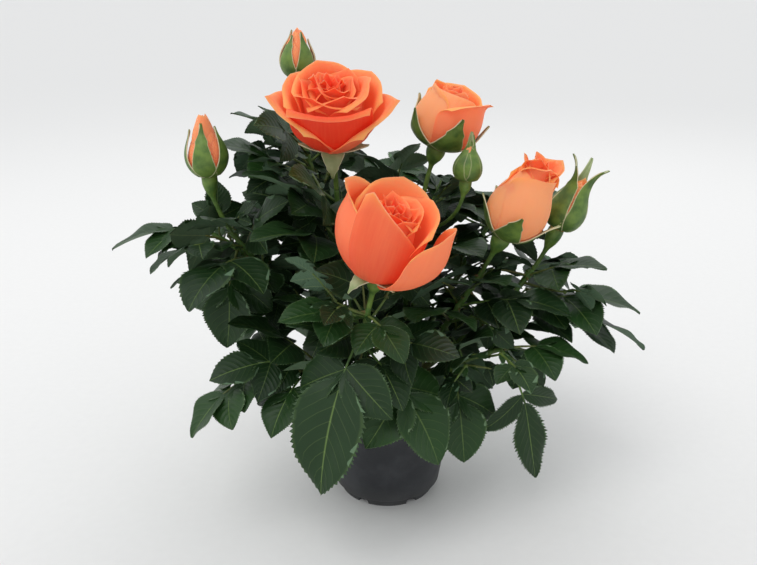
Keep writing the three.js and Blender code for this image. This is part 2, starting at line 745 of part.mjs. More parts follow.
// Tries a leaf and small changes of it, and grows the first one that touches nothing
function growLeaf(name, row, seed, leading) {
  const curve = curves[name];
  for (let k = 0; k < RULE.tries; k += 1) {
    const wobble = (n) => (k === 0 ? 0 : (chance(seed * 128 + k * 8 + n) - 0.5) * 2);
    const spread = leading ? 5 + 1.5 * k : 16 + 4 * k;
    const tried = {
      ...row,
      bearing: row.bearing + spread * wobble(1),
      rise: row.rise + spread * wobble(2),
      roll: row.roll + spread * wobble(3),
      reach: row.reach * (1 - 0.02 * k),
      size: row.size * (1 - (leading ? 0.01 : 0.025) * k),
      leaflets: k > 7 && row.leaflets > 3 ? 3 : row.leaflets,
    };
    const { stalk, leaflets } = compoundLeaf(curve.getPoint(row.at), tried);
    const ends = leaflets.flatMap((leaf) => [onLeaflet(leaf, 1, 0, 0), onLeaflet(leaf, 0.5, 0, 0)]);
    const wellPlaced = ends.every((p) => insideCrown(p) && (leading || !inLight(p)));
    if (wellPlaced) {
      const shells = leaflets.map((leaf) => {
        const swollen = { ...leaf, width: leaf.width + 1, length: leaf.length + 0.8 };
        return facesOf(leafletShape(swollen, 6, leaf.length * LEAFLET.thickShare + 0.9));
      });
      const clearOf = girth(row.at) + 1.2;
      const stalkFrom = shareOf(stalk, 0.02, clearOf);
      const stalkShell = facesOf(limb(stalk, stalkFrom, 0.98, () => 1.5, 4, 2));
      const free =
        shells.every((shell) => !standing.some((other) => cross(shell, other))) &&
        !standing.some((other) => other.owner !== name && cross(stalkShell, other));
      if (free) {
        shells.push(stalkShell);
        standing.push(...shells);
        leafMassParts[name].push(solid(limb(stalk, 0, 1, (t) => mix(1.15, 0.85, t), 3, 6)));
        for (const leaf of leaflets) {
          const rim = leaf.length > 50 ? 8 : leaf.length > 41 ? 6 : 4;
          leafMassParts[name].push(solid(leafletShape(leaf, rim, Math.max(1, leaf.length * LEAFLET.thickShare))));
        }
        return true;
      }
    }
  }
  return false;
}

const group = new THREE.Group();
const plastic = { color: 0x2b2b30, roughness: 0.62, metalness: 0 };
const earth = { color: 0x1f1a17, roughness: 0.95, metalness: 0 };
const bark = { color: 0x5f6b34, roughness: 0.7, metalness: 0 };
const greenCane = { color: 0x4f7a34, roughness: 0.5, metalness: 0 };
const foliage = { color: 0x2a4a2b, roughness: 0.42, metalness: 0 };
const petals = { color: 0xf1754a, roughness: 0.55, metalness: 0 };
const greenBud = { color: 0x5c8a3f, roughness: 0.5, metalness: 0 };

const pot = potBody();
group.add(meshOf('pot', pot, plastic));
group.add(meshOf('potting-mix', mixBody(), earth));
stand(turned([[0, -1], [POT.footRadius, -1], [POT.rimRadius + 1, POT.height], [0, POT.height + 0.5]], 24));

for (const name of Object.keys(STEMS)) {
  const body = stemBody(name);
  const mesh = meshOf(`${name}-stem`, body, bark);
  stand(mesh.geometry);
  group.add(mesh);
}

for (const [name, curve] of Object.entries(curves)) {
  const { leafEnd } = SHOOTS[name];
  const caneFrom = STUB + shareOf(curve, STUB, GAP);
  group.add(meshOf(`${name}-cane`, solid(limb(curve, caneFrom, LEAF_START, girth, 5, 2)), greenCane));
  stand(limb(curve, caneFrom, 1, (t) => girth(t) + 0.4, 6, 6), name);
  const massFrom = LEAF_START + shareOf(curve, LEAF_START, GAP);
  leafMassParts[name] = [solid(limb(curve, massFrom, leafEnd, girth, 5, 4))];
}
stand(limb(sideStalk(), 0.05, 1, () => 1.7, 6, 4));

const bloomBodies = {};
for (const [name, bloom] of Object.entries(BLOOMS)) {
  const shapes = bloomShapes(name);
  bloomBodies[name] = fused(shapes.map(solid), 0.9);
  stand(meshOf(name, bloomBodies[name], petals).geometry);
  const start = name === 'small' ? vec(...SIDE_STALK.end) : curves[name].getPoint(1);
  const middle = start.clone().addScaledVector(vec(...bloom.axis).normalize(), bloom.hip[1] + bloom.heart[1] * 0.5);
  const wide = (bloom.rings ? bloom.rings[0].mouth : bloom.heart[0]) + 2;
  blossomLight.push({ start: middle, way: heading(-90, 20), radius: wide, length: 120 });
}

let seed = 11;
for (const [name, rows] of Object.entries(LEADING)) {
  for (const [at, bearing, rise, reach, bend, roll, leaflets, size, sides = 1, slim = 1] of rows) {
    growLeaf(name, { at, bearing, rise, reach, bend, roll, leaflets, size, sides, slim }, seed, true);
    seed += 1;
  }
}

for (const [name, curve] of Object.entries(curves)) {
  const { leafEnd } = SHOOTS[name];
  const run = curve.getLength() * (leafEnd - LEAF_START);
  const count = Math.round(run / RULE.spacing);
  for (let i = 0; i < count; i += 1) {
    seed += 1;
    const share = (i + 0.6) / count;
    const high = leafEnd === 1 && i > count - 3;
    growLeaf(
      name,
      {
        at: mix(LEAF_START + 0.02, leafEnd - 0.02, share),
        bearing: i * RULE.turn + 60 * chance(seed) + 40 * name.length,
        rise: high ? mix(30, 70, chance(seed + 900)) : mix(-25, 45, chance(seed + 900)),
        reach: mix(60, 86, chance(seed + 1800)) * (high ? 0.75 : 1),
        bend: mix(20, 50, chance(seed + 2700)),
        roll: mix(-20, 20, chance(seed + 3600)),
        leaflets: chance(seed + 4500) > 0.7 ? 3 : 5,
        size: mix(34, 46, chance(seed + 5400)) * (high ? 0.8 : 1),
        sides: 1,
        slim: mix(0.88, 1.04, chance(seed + 6300)),
      },
      seed,
      false,
    );
  }
}

for (const [name, parts] of Object.entries(leafMassParts)) {
  group.add(meshOf(`${name}-leaves`, fused(parts, 0.5), foliage));
}

for (const [name, body] of Object.entries(bloomBodies)) {
  const green = name === 'small' || name === 'far-right';
  const open = BLOOMS[name].kind !== 'egg';
  group.add(meshOf(`${name}-${open ? 'bloom' : 'bud'}`, body, green ? greenBud : petals));
}

export default group;
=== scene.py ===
import math

import bmesh
import bpy
import numpy as np
from mathutils import Matrix, Vector
from mathutils.bvhtree import BVHTree


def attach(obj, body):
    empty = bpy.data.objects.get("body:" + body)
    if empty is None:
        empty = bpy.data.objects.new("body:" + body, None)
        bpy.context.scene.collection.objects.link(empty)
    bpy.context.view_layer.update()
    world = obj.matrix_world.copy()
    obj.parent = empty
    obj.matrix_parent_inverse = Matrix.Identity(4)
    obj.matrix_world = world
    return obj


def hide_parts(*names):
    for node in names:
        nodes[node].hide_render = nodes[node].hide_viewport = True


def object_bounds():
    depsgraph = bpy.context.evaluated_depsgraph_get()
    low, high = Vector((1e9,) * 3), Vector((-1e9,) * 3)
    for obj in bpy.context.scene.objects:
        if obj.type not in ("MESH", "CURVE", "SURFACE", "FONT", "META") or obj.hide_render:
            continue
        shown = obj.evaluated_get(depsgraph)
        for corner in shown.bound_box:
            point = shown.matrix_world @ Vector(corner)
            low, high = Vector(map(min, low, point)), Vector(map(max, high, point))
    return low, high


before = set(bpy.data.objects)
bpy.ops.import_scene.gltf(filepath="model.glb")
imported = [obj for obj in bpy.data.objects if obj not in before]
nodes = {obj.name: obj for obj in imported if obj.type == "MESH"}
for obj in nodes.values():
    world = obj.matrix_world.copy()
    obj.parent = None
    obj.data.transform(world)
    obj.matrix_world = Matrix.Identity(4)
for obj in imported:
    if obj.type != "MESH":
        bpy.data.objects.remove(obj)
cadLow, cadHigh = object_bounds()
mm = 0.001  # the tables are in millimetres, the meshes in metres
rng = np.random.default_rng(7)

# camera

view = {"place": (-5.7, -459.5, 309.5), "down": 20.2, "lens": 38.04, "sensor": 36, "size": (757, 565)}


def linked(name, data):
    made = bpy.data.objects.new(name, data)
    bpy.context.scene.collection.objects.link(made)
    return made


def makeCamera():
    data = bpy.data.cameras.new("camera")
    data.lens, data.sensor_width = view["lens"], view["sensor"]
    data.clip_start, data.clip_end = 0.01, 100
    camera = linked("camera", data)
    camera.location = [c * mm for c in view["place"]]
    camera.rotation_euler = (math.radians(90 - view["down"]), 0, 0)
    bpy.context.scene.camera = camera


makeCamera()


# small tools in millimetres


def vec(*numbers):
    return np.array(numbers, dtype=float)


def unit(v):
    return v / np.linalg.norm(v)


def mix(a, b, t):
    return a + (b - a) * t


def smooth(low, high, x):
    t = np.clip((x - low) / (high - low), 0, 1)
    return t * t * (3 - 2 * t)


def heading(bearing, rise):  # unit vector from a bearing and a rise above level
    b, r = math.radians(bearing), math.radians(rise)
    return vec(math.cos(b) * math.cos(r), math.sin(b) * math.cos(r), math.sin(r))


def turnedAbout(v, axis, degrees):
    a = math.radians(degrees)
    return v * math.cos(a) + np.cross(axis, v) * math.sin(a) + axis * np.dot(axis, v) * (1 - math.cos(a))


def chance(seed):  # a repeatable number from 0 to 1 for each seed, by stirring its bits
    whole = 0xFFFFFFFF
    h = ((seed ^ 0x9E3779B9) & whole) * 0x85EBCA6B & whole
    h = (h ^ (h >> 13)) * 0xC2B2AE35 & whole
    return ((h ^ (h >> 16)) & whole) / 2**32


def deal(low, high, seed):
    return mix(low, high, chance(seed))


class Curve:
    # Bezier curve of three or four points

    def __init__(self, *points):
        self.points = [np.array(p, dtype=float) for p in points]

    def at(self, t):
        points = self.points
        t = np.asarray(t, dtype=float)[..., None]
        while len(points) > 1:
            points = [a + (b - a) * t for a, b in zip(points, points[1:])]
        return points[0]

    def way(self, t):
        d = self.at(np.minimum(1, np.asarray(t) + 1e-4)) - self.at(np.maximum(0, np.asarray(t) - 1e-4))
        return d / np.linalg.norm(d, axis=-1, keepdims=True)

    def length(self):
        return float(np.linalg.norm(np.diff(self.at(np.linspace(0, 1, 201)), axis=0), axis=1).sum())


# materials: a wire is a socket that can be used in a sum


class Wire:
    def __init__(self, finish, socket):
        self.finish = finish
        self.socket = socket

    def maths(self, operation, *others):
        return self.finish.maths(operation, self, *others)

    def __add__(self, other):
        return self.maths("ADD", other)

    def __sub__(self, other):
        return self.maths("SUBTRACT", other)

    def __rsub__(self, other):
        return self.finish.maths("SUBTRACT", other, self)

    def __mul__(self, other):
        return self.maths("MULTIPLY", other)

    def __pow__(self, other):
        return self.maths("POWER", other)

    def __abs__(self):
        return self.maths("ABSOLUTE")

    __radd__, __rmul__ = __add__, __mul__


class Finish:
    # one material and the few ways that its nodes are made

    def __init__(self, name, **fixed):
        self.material = bpy.data.materials.new(name)
        self.material.use_nodes = True
        self.tree = self.material.node_tree
        self.shader = next(n for n in self.tree.nodes if n.type == "BSDF_PRINCIPLED")
        self.finish(**fixed)

    def put(self, socket, value):
        if isinstance(value, Wire):
            self.tree.links.new(value.socket, socket)
        elif socket.type == "RGBA" and len(value) == 3:
            socket.default_value = (*value, 1)
        else:
            socket.default_value = value

    def node(self, kind, settings={}, inputs={}):
        made = self.tree.nodes.new(kind)
        for key, value in settings.items():
            setattr(made, key, value)
        for key, value in inputs.items():
            self.put(made.inputs[key], value)
        return made

    def wire(self, made, output=0):
        return Wire(self, made.outputs[output])

    def maths(self, operation, *values):
        return self.wire(self.node("ShaderNodeMath", {"operation": operation}, dict(enumerate(values))))

    def blend(self, factor, one, other):
        return self.wire(self.node("ShaderNodeMix", {"data_type": "RGBA"}, {0: factor, 6: one, 7: other}), 2)

    def ramp(self, factor, low, high):  # 0 below low, 1 above high, smooth between
        smoothly = {"interpolation_type": "SMOOTHSTEP"}
        return self.wire(self.node("ShaderNodeMapRange", smoothly, {0: factor, 1: low, 2: high}))

    def noise(self, where, scale, detail=3.0, rough=0.5):
        inputs = {"Vector": where, "Scale": scale, "Detail": detail, "Roughness": rough}
        return self.wire(self.node("ShaderNodeTexNoise", {}, inputs))

    def place(self):
        return self.wire(self.node("ShaderNodeTexCoord"), 3)

    def part(self, vector, index):  # one of the three numbers of a vector
        return self.wire(self.node("ShaderNodeSeparateXYZ", {}, {0: vector}), index)

    def sheet(self):  # the two directions of the piece's own map
        both = self.wire(self.node("ShaderNodeUVMap", {"uv_map": "sheet"}))
        return self.part(both, 0), self.part(both, 1)

    def dealt(self):  # the colour numbers that each part of the mesh carries
        carried = self.wire(self.node("ShaderNodeAttribute", {"attribute_name": "spray"}))
        parts = self.node("ShaderNodeSeparateColor", {}, {0: carried})
        return [self.wire(parts, i) for i in range(3)]

    def relief(self, height, depth, strength):
        inputs = {"Strength": strength, "Distance": depth, "Height": height}
        return self.wire(self.node("ShaderNodeBump", {}, inputs))

    def finish(self, **sockets):
        for name, value in sockets.items():
            self.put(self.shader.inputs[name.replace("_", " ")], value)
        return self.material


def hexColour(text):  # linear colour from its usual six figures
    parts = [int(text[i : i + 2], 16) / 255 for i in (0, 2, 4)]
    return tuple(c / 12.92 if c <= 0.04045 else ((c + 0.055) / 1.055) ** 2.4 for c in parts)


def leafMaterial(name, deep, fresh, veinColour, sheen):
    made = Finish(name, Specular_IOR_Level=0.3)
    across, along = made.sheet()
    tone, lush, _ = made.dealt()
    side = abs(across - 0.5) * 2
    rise = (along - side**1.2 * 0.3) * 8
    nearest = abs(rise.maths("FRACT") - 0.5) * 2  # 1 on a side vein, 0 between two
    sideVein = made.ramp(nearest, 0.88, 1.0) * made.ramp(side, 0.95, 0.6)
    midVein = made.ramp(side, 0.04, 0.008)
    veins = sideVein.maths("MAXIMUM", midVein)
    where = made.place()
    cloud = made.noise(where, 45, 3)
    fine = made.noise(where, 900, 2)
    colour = made.blend(tone * 0.75 + cloud * 0.35 - 0.1, deep, fresh)
    colour = made.blend(made.ramp(side, 0.9, 1.0) * 0.15, colour, hexColour("6d8a4a"))
    colour = made.blend(sideVein * 0.12 + midVein * (0.2 + lush * 0.32), colour, veinColour)
    puff = (1 - nearest) * (1 - side * 0.6) * 0.5 - veins * 0.4 + fine * 0.1 + cloud * 1.2
    bump = made.relief(puff, 0.0008, 0.34)
    gloss = 0.36 + cloud * 0.14 + lush * 0.1 - sheen
    return made.finish(Base_Color=colour, Roughness=gloss, Normal=bump)


def barkMaterial(name, young, old, low, high):
    made = Finish(name, Specular_IOR_Level=0.35)
    where = made.place()
    age = made.ramp(made.part(where, 2) + (made.noise(where, 120, 4) - 0.5) * 0.03, high, low)
    streak = made.noise(where, 700, 4)
    colour = made.blend(age, young, old)
    colour = made.blend(made.ramp(streak, 0.5, 0.8) * 0.45, colour, hexColour("8a7d4e"))
    colour = made.blend(made.ramp(made.noise(where, 90, 2), 0.55, 0.75) * 0.35, colour, hexColour("5d3a26"))
    rough = age * 0.3 + streak * 0.12 + 0.42
    return made.finish(Base_Color=colour, Roughness=rough, Normal=made.relief(streak, 0.0004, 0.5))


def petalMaterial(name, core, body, rim, peach):
    glow = {"Subsurface_Weight": 0.45, "Subsurface_Scale": 0.006, "Subsurface_Radius": (1.0, 0.3, 0.16)}
    # painted light: the petals glow faintly with their own colour, which lifts their shaded parts
    made = Finish(name, Specular_IOR_Level=0.16, Emission_Strength=0.09, **glow)
    across, along = made.sheet()
    tone, _, depth = made.dealt()
    where = made.place()
    cloud = made.noise(where, 70, 3)
    side = abs(across - 0.5) * 2
    drawn = made.node("ShaderNodeCombineXYZ", {}, {0: across * 18, 1: along * 1.6, 2: tone})
    streak = made.noise(made.wire(drawn), 2, 3)
    # painted shade: lit turns each petal to the dark core colour towards its foot, where the bloom is
    # recessed, and more so on petals of greater depth; that depth is partly the inner petals' own deeper red
    # and partly painted shade on petals that lie in shadow
    lit = made.ramp(along + (cloud - 0.5) * 0.3 - depth * 0.35, 0.12, 0.86)
    colour = made.blend(lit * (1 - depth * 0.7), core, body)
    colour = made.blend(tone * 0.8 + (streak - 0.5) * 0.08, colour, peach)
    edge = made.ramp(along + side * side * 0.12, 0.86, 1.04)
    colour = made.blend(edge * 0.75 * (1 - depth * 0.6), colour, rim)
    colour = made.blend(made.ramp(streak, 0.35, 0.75) * 0.04, colour, rim)
    bump = made.relief(streak * 0.35 + cloud, 0.0004, 0.22)
    # the emission colour is the petal's own colour, glowing as painted light
    return made.finish(Base_Color=colour, Emission_Color=colour, Roughness=0.5 + cloud * 0.12, Normal=bump)


def budMaterial(name, fresh, deep, cream):  # hips, sepals and flower stalks
    made = Finish(name, Specular_IOR_Level=0.4)
    margin, warm, _ = made.dealt()
    where = made.place()
    cloud = made.noise(where, 160, 3)
    side = abs(made.sheet()[0] - 0.5) * 2
    colour = made.blend(made.ramp(cloud, 0.3, 0.7), fresh, deep)
    colour = made.blend(made.ramp(side, 0.88, 0.99) * margin, colour, cream)
    colour = made.blend(warm * 0.5, colour, hexColour("7d4a32"))
    bump = made.relief(made.noise(where, 900, 3), 0.0003, 0.4)
    return made.finish(Base_Color=colour, Roughness=0.42 + cloud * 0.15, Normal=bump)


looks = {
    "leafTop": (leafMaterial, ("0a1a0e", "26481b", "7f9a52"), 0.04),
    "leafUnder": (leafMaterial, ("45604b", "6c8563", "a2b27a"), -0.2),
    "leafStalk": (budMaterial, ("5f8038", "3c5a2a", "8a5a42")),
    "cane": (barkMaterial, ("4d7030", "4a4a2c"), 0.06, 0.13),
    "wood": (barkMaterial, ("55602f", "4b3a28"), 0.05, 0.1),
    "petalInside": (petalMaterial, ("ee3a26", "ff8252", "ffb466", "ffa46e")),
    "petalOutside": (petalMaterial, ("dc3c24", "fa7450", "ffa45c", "ffae78")),
    "bud": (budMaterial, ("6c8c3c", "44682c", "d8d2a8")),
    "budInside": (budMaterial, ("a8b585", "8c9f6a", "dcd8b8")),
}
finishes = {name: make(name, *map(hexColour, tints), *more) for name, (make, tints, *more) in looks.items()}
print("materials made")


# meshes from arrays


def arraysOf(bm):  # its corners and faces, and the bmesh let go
    bm.verts.index_update()
    points = np.array([v.co[:] for v in bm.verts])
    faces = [[v.index for v in f.verts] for f in bm.faces]
    bm.free()
    return points, faces


def dress(mesh, materials):
    for material in materials:
        mesh.materials.append(finishes[material])


class Heap:
    # many small meshes gathered into one

    def __init__(self):
        self.points, self.faces, self.finish, self.sheet, self.spray = [], [], [], [], []
        self.count = 0

    def add(self, points, faces, finish, sheet, spray):
        points = np.asarray(points, dtype=float).reshape(-1, 3)
        self.points.append(points)
        self.faces.extend([[i + self.count for i in face] for face in faces])
        self.finish.extend(finish if hasattr(finish, "__len__") else [finish] * len(faces))
        self.sheet.append(np.asarray(sheet, dtype=float).reshape(-1, 2))
        colour = np.asarray(spray, dtype=float)
        self.spray.append(colour if colour.ndim == 2 else np.repeat(colour[None], len(points), axis=0))
        self.count += len(points)

    def object(self, name, materials):
        mesh = bpy.data.meshes.new(name)
        mesh.from_pydata((np.concatenate(self.points) * mm).tolist(), [], self.faces)
        dress(mesh, materials)
        mesh.polygons.foreach_set("material_index", np.array(self.finish, dtype=np.int32))
        mesh.polygons.foreach_set("use_smooth", np.ones(len(mesh.polygons), dtype=bool))
        corners = np.empty(len(mesh.loops), dtype=np.int32)
        mesh.loops.foreach_get("vertex_index", corners)
        layer = mesh.uv_layers.new(name="sheet")
        layer.data.foreach_set("uv", np.concatenate(self.sheet).astype(np.float32)[corners].ravel())
        spray = np.concatenate(self.spray).astype(np.float32)
        layer = mesh.attributes.new("spray", "FLOAT_COLOR", "POINT")
        layer.data.foreach_set("color", np.insert(spray, 3, 1, axis=1).ravel())
        bm = bmesh.new()
        bm.from_mesh(mesh)
        for edge in bm.edges:  # a crease where two finishes meet
            beside = [face.material_index for face in edge.link_faces]
            edge.smooth = len(beside) != 2 or beside[0] == beside[1]
        bm.to_mesh(mesh)
        bm.free()
        made = linked(name, mesh)
        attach(made, "root")
        return made


def gridPattern(columns, rows, closedRound=False):
    # corners of a flat grid from -1 to 1 each way, made once and shaped by arrays
    bm = bmesh.new()
    bmesh.ops.create_grid(bm, x_segments=columns, y_segments=rows, size=1)
    if closedRound:
        for v in bm.verts:
            v.co = Vector((math.cos(math.pi * v.co.x), math.sin(math.pi * v.co.x), v.co.y))
        bmesh.ops.remove_doubles(bm, verts=bm.verts, dist=1e-5)
        bmesh.ops.holes_fill(bm, edges=[e for e in bm.edges if e.is_boundary], sides=0)
        bmesh.ops.recalc_face_normals(bm, faces=bm.faces)
    return arraysOf(bm)


tubes = {}  # patterns by sides and rings, each made once


def tube(heap, curve, start, end, radius, sides, rings, finish, spray, lump=None):
    # limb along a curve, its ends closed
    if (sides, rings) not in tubes:
        tubes[sides, rings] = gridPattern(sides, rings, True)
    pattern, faces = tubes[sides, rings]
    share = (pattern[:, 2] + 1) / 2
    around = np.arctan2(pattern[:, 1], pattern[:, 0])
    t = mix(start, end, share)
    along = curve.way(t)
    chord = np.abs(curve.at(end) - curve.at(start))
    level = np.eye(3)[int(np.argmin(chord))]
    side = np.cross(along, level)
    side /= np.linalg.norm(side, axis=1, keepdims=True)
    face = np.cross(side, along)
    r = radius(t) if callable(radius) else np.full(len(t), float(radius))
    if lump is not None:
        r = r + lump(t, around)
    points = curve.at(t) + side * (pattern[:, 0] * r)[:, None] + face * (pattern[:, 1] * r)[:, None]
    heap.add(points, faces, finish, np.stack([around / math.tau + 0.5, share], axis=1), spray)


# the limbs, by the same table as the solids

stems = {
    "front": {"foot": (-9, -14), "fork": (-11, -20, 80)},
    "left": {"foot": (-14, 8), "fork": (-18, 11, 84)},
    "back": {"foot": (11, 13), "fork": (15, 16, 82)},
    "right": {"foot": (10, -9), "fork": (15, -12, 82)},
}
shoots = {
    "front": ("front", (255, 52), (-8, -70, 164), (0.22, -0.2, 0.95), 0.86),
    "open": ("front", (150, 75), (-30, -20, 222), (0, -0.3, 0.95), 0.86),
    "low-left": ("front", (195, 45), (-72, -45, 104), (-0.7, -0.4, 0.3), 1),
    "top": ("left", (100, 80), (-53, 20, 256), (0, 0, 1), 0.8),
    "left": ("left", (190, 60), (-103, -5, 199), (-0.24, 0, 0.97), 0.84),
    "far-left": ("left", (158, 30), (-112, 8, 172), (-0.8, 0, 0.4), 1),
    "back-left": ("left", (125, 55), (-62, 62, 172), (-0.4, 0.4, 0.8), 1),
    "rear": ("back", (60, 80), (27, 15, 214), (0.28, -0.05, 0.95), 0.8),
    "back": ("back", (95, 60), (5, 72, 185), (0, 0.4, 0.9), 1),
    "back-right": ("back", (40, 50), (72, 58, 168), (0.5, 0.4, 0.75), 1),
    "right": ("right", (10, 60), (63, -15, 168), (0.45, 0, 0.89), 0.84),
    "far-right": ("right", (0, 40), (98, 5, 164), (0.4, 0, 0.92), 0.84),
    "low-right": ("right", (-48, 30), (68, -34, 112), (0.7, -0.4, 0.4), 1),
}
cane = {"foot": 2.35, "tip": 1.3, "stub": 0.12, "leafStart": 0.28, "mixTop": 56.3}


def shootCurve(start, leaving, end, axis):
    finish = vec(*end)
    pull = 0.35 * np.linalg.norm(finish - start)
    return Curve(start, start + heading(*leaving) * pull, finish - unit(vec(*axis)) * pull, finish)


curves = {name: shootCurve(vec(*stems[stem]["fork"]), *rest) for name, (stem, *rest, _) in shoots.items()}
leafEnds = {name: row[4] for name, row in shoots.items()}

smallStalk = {"at": 0.62, "out": 3, "leaving": (-40, 32), "end": (43, -16, 203), "axis": (0.12, 0, 1)}
smallStart = curves["rear"].at(smallStalk["at"]) + heading(*smallStalk["leaving"]) * smallStalk["out"]
smallCurve = shootCurve(smallStart, smallStalk["leaving"], smallStalk["end"], smallStalk["axis"])
bloomCurves = {**curves, "small": smallCurve}


def girth(t):
    return mix(cane["foot"], cane["tip"], np.asarray(t, dtype=float))


# compound leaves, by the same rule as the solids

leafRule = {"spacing": 6.4, "turn": 144, "tries": 14}
leafRule |= {"widthShare": 0.74, "fold": 0.2, "curve": 0.45, "thick": 0.03}
pairs = {3: [0.86], 5: [0.5, 0.84], 7: [0.36, 0.6, 0.86]}

leading = {
    "front": [
        (0.7, 237, -47, 93, 26, 0, 3, 66, 0.66, 0.84),
        (0.42, -41, -31, 77, 40, 10, 3, 44),
        (0.52, 207, 66, 60, 8, 0, 3, 40),
        (0.36, 206, 15, 70, 24, 0, 3, 40),
        (0.8, -57, -9, 38, 16, 0, 3, 26),
        (0.78, 209, 10, 52, 16, 0, 3, 32),
        (0.52, -65, -4, 52, 20, 0, 3, 30),
    ],
    "low-right": [
        (0.97, -40, -62, 86, 24, 30, 3, 54, 0.7, 0.42),
        (0.88, -14, -36, 70, 40, 0, 3, 48, 0.7),
        (0.45, -85, -43, 74, 50, 0, 3, 40, 0.9),
        (0.36, -53, 44, 58, 16, 0, 3, 36),
        (0.99, -6, 4, 50, 20, 0, 3, 32),
    ],
    "far-left": [
        (0.99, 178, 0, 60, 10, 0, 5, 42, 0.85, 0.8),
        (0.82, 259, -50, 62, 30, 0, 5, 37),
        (0.66, 240, -12, 50, 30, 0, 3, 30),
    ],
    "low-left": [
        (0.97, 207, -24, 58, 30, 0, 5, 31),
        (0.6, 244, -16, 50, 36, 0, 3, 28),
        (0.45, 199, 44, 69, 16, 0, 3, 36),
    ],
    "far-right": [
        (0.46, 2, -13, 122, 36, 0, 5, 46, 1, 0.85),
        (0.6, -5, 7, 84, 16, 0, 5, 42),
        (0.8, -34, 27, 50, 8, 0, 3, 32),
    ],
    "right": [
        (0.56, -19, 3, 72, 24, 0, 5, 34),
        (0.7, -69, 33, 44, 8, 0, 3, 29),
        (0.78, -26, 10, 42, 8, 0, 3, 27),
        (0.45, -120, 29, 70, 16, 0, 3, 40, 1, 0.8),
        (0.36, -78, 15, 62, 20, 0, 3, 36),
    ],
    "rear": [
        (0.5, -61, 26, 74, 16, 0, 5, 35),
        (0.62, -30, 34, 72, 16, 0, 5, 34),
        (0.72, -149, 54, 64, 8, 0, 3, 36, 1, 0.7),
    ],
    "left": [(0.56, 242, 24, 54, 26, 0, 3, 36), (0.8, 262, 40, 40, 16, 0, 3, 27)],
    "top": [(0.62, 202, 34, 82, 24, 0, 5, 37), (0.72, 211, 46, 62, 16, 0, 5, 31)],
    "open": [
        (0.68, 203, 44, 68, 8, 0, 5, 37),
        (0.6, 218, 27, 64, 20, 0, 3, 39),
        (0.82, 254, -8, 42, 16, 0, 3, 26),
    ],
}
rowNames = ("at", "bearing", "rise", "reach", "bend", "roll", "leaflets", "size", "sides", "slim")


def compoundLeaf(place, row):
    stalkLength = max(8, row["reach"] - row["size"] * 0.95)
    start = heading(row["bearing"], row["rise"] + row["bend"] * 0.5)
    end = heading(row["bearing"], row["rise"] - row["bend"] * 0.25)
    middle = place + start * stalkLength * 0.5
    stalk = Curve(place, middle, middle + end * stalkLength * 0.5)
    level = heading(row["bearing"] - 90, 0)
    leaflets = []

    def add(t, size, angle, side, tilt):
        along = stalk.way(t)
        up = turnedAbout(unit(np.cross(level, along)), along, row["roll"])
        across = turnedAbout(level, along, row["roll"])
        out = along * math.cos(math.radians(angle)) + across * side * math.sin(math.radians(angle))
        axis = unit(np.cross(out, up))
        out = turnedAbout(out, axis, tilt)
        leaflets.append(
            {
                "root": stalk.at(t) + out * (-0.3 if side == 0 else 0.1),
                "along": out,
                "face": turnedAbout(up, axis, tilt),
                "length": size,
                "width": size * leafRule["widthShare"] * row["slim"],
            }
        )

    add(1.0, row["size"], 0, 0, -4 if row["bend"] > 0 else 0)
    steps = pairs[row["leaflets"]]
    for i, t in enumerate(steps):
        share = 1 if len(steps) < 2 else i / (len(steps) - 1)
        size = row["size"] * row["sides"] * mix(0.74, 0.88, share)
        add(t, size, 64, 1, -8)
        add(t - 0.025, size * 0.97, 60, -1, -8)
    return {"stalk": stalk, "leaflets": leaflets, "at": row["at"]}


def leafOutline(t):
    return np.maximum(0, np.sin(np.pi * np.power(np.clip(t, 0, 1), 0.78))) ** 0.85


def onLeaflets(leaflets, t, s, lift, edge=0.0):
    # places on many leaflets at once: rows are leaflets, columns are corners of the pattern
    column = lambda key: np.array([leaf[key] for leaf in leaflets])[:, None]
    root, along, face, length, width = map(column, ("root", "along", "face", "length", "width"))
    bend, fold = leafRule["curve"], leafRule["fold"]
    half = 0.5 * width * leafOutline(t)
    turned = bend * t
    faceThere = face * np.cos(turned)[..., None] + along * np.sin(turned)[..., None]
    aside = half * s * np.cos(fold) + edge * length
    return (
        root
        + along * (length * np.sin(turned) / bend)[..., None]
        - face * (length * (1 - np.cos(turned)) / bend)[..., None]
        + np.cross(face, along) * aside[..., None]
        + faceThere * (half * np.abs(s) * np.sin(fold) + lift)[..., None]
    )


def treeOf(node):
    mesh = nodes[node].data
    return BVHTree.FromPolygons([v.co for v in mesh.vertices], [p.vertices[:] for p in mesh.polygons])


def grownHere(leaf, mass):
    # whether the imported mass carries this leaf: the middle and the tip of each leaflet lie on it
    near = 1.3 * mm
    for leaflet in leaf["leaflets"]:
        thick = max(1, leaflet["length"] * leafRule["thick"])
        spots = onLeaflets([leaflet], np.array([1.0, 0.44]), np.zeros(2), np.array([0, thick / 2]))[0]
        for spot in spots:
            if mass.find_nearest(Vector(spot * mm), near)[0] is None:
                return False
    return True


def growLeaf(name, row, seed, isLeading, mass):
    for k in range(leafRule["tries"]):
        wobble = [0 if k == 0 else (chance(seed * 128 + k * 8 + n) - 0.5) * 2 for n in range(4)]
        spread = 5 + 1.5 * k if isLeading else 16 + 4 * k
        tried = dict(row)
        tried["bearing"] += spread * wobble[1]
        tried["rise"] += spread * wobble[2]
        tried["roll"] += spread * wobble[3]
        tried["reach"] *= 1 - 0.02 * k
        tried["size"] *= 1 - (0.01 if isLeading else 0.025) * k
        if k > 7 and row["leaflets"] > 3:
            tried["leaflets"] = 3
        leaf = compoundLeaf(curves[name].at(row["at"]), tried)
        if grownHere(leaf, mass):
            return {**leaf, "kind": "large" if isLeading else "common", "seed": seed}
    return None


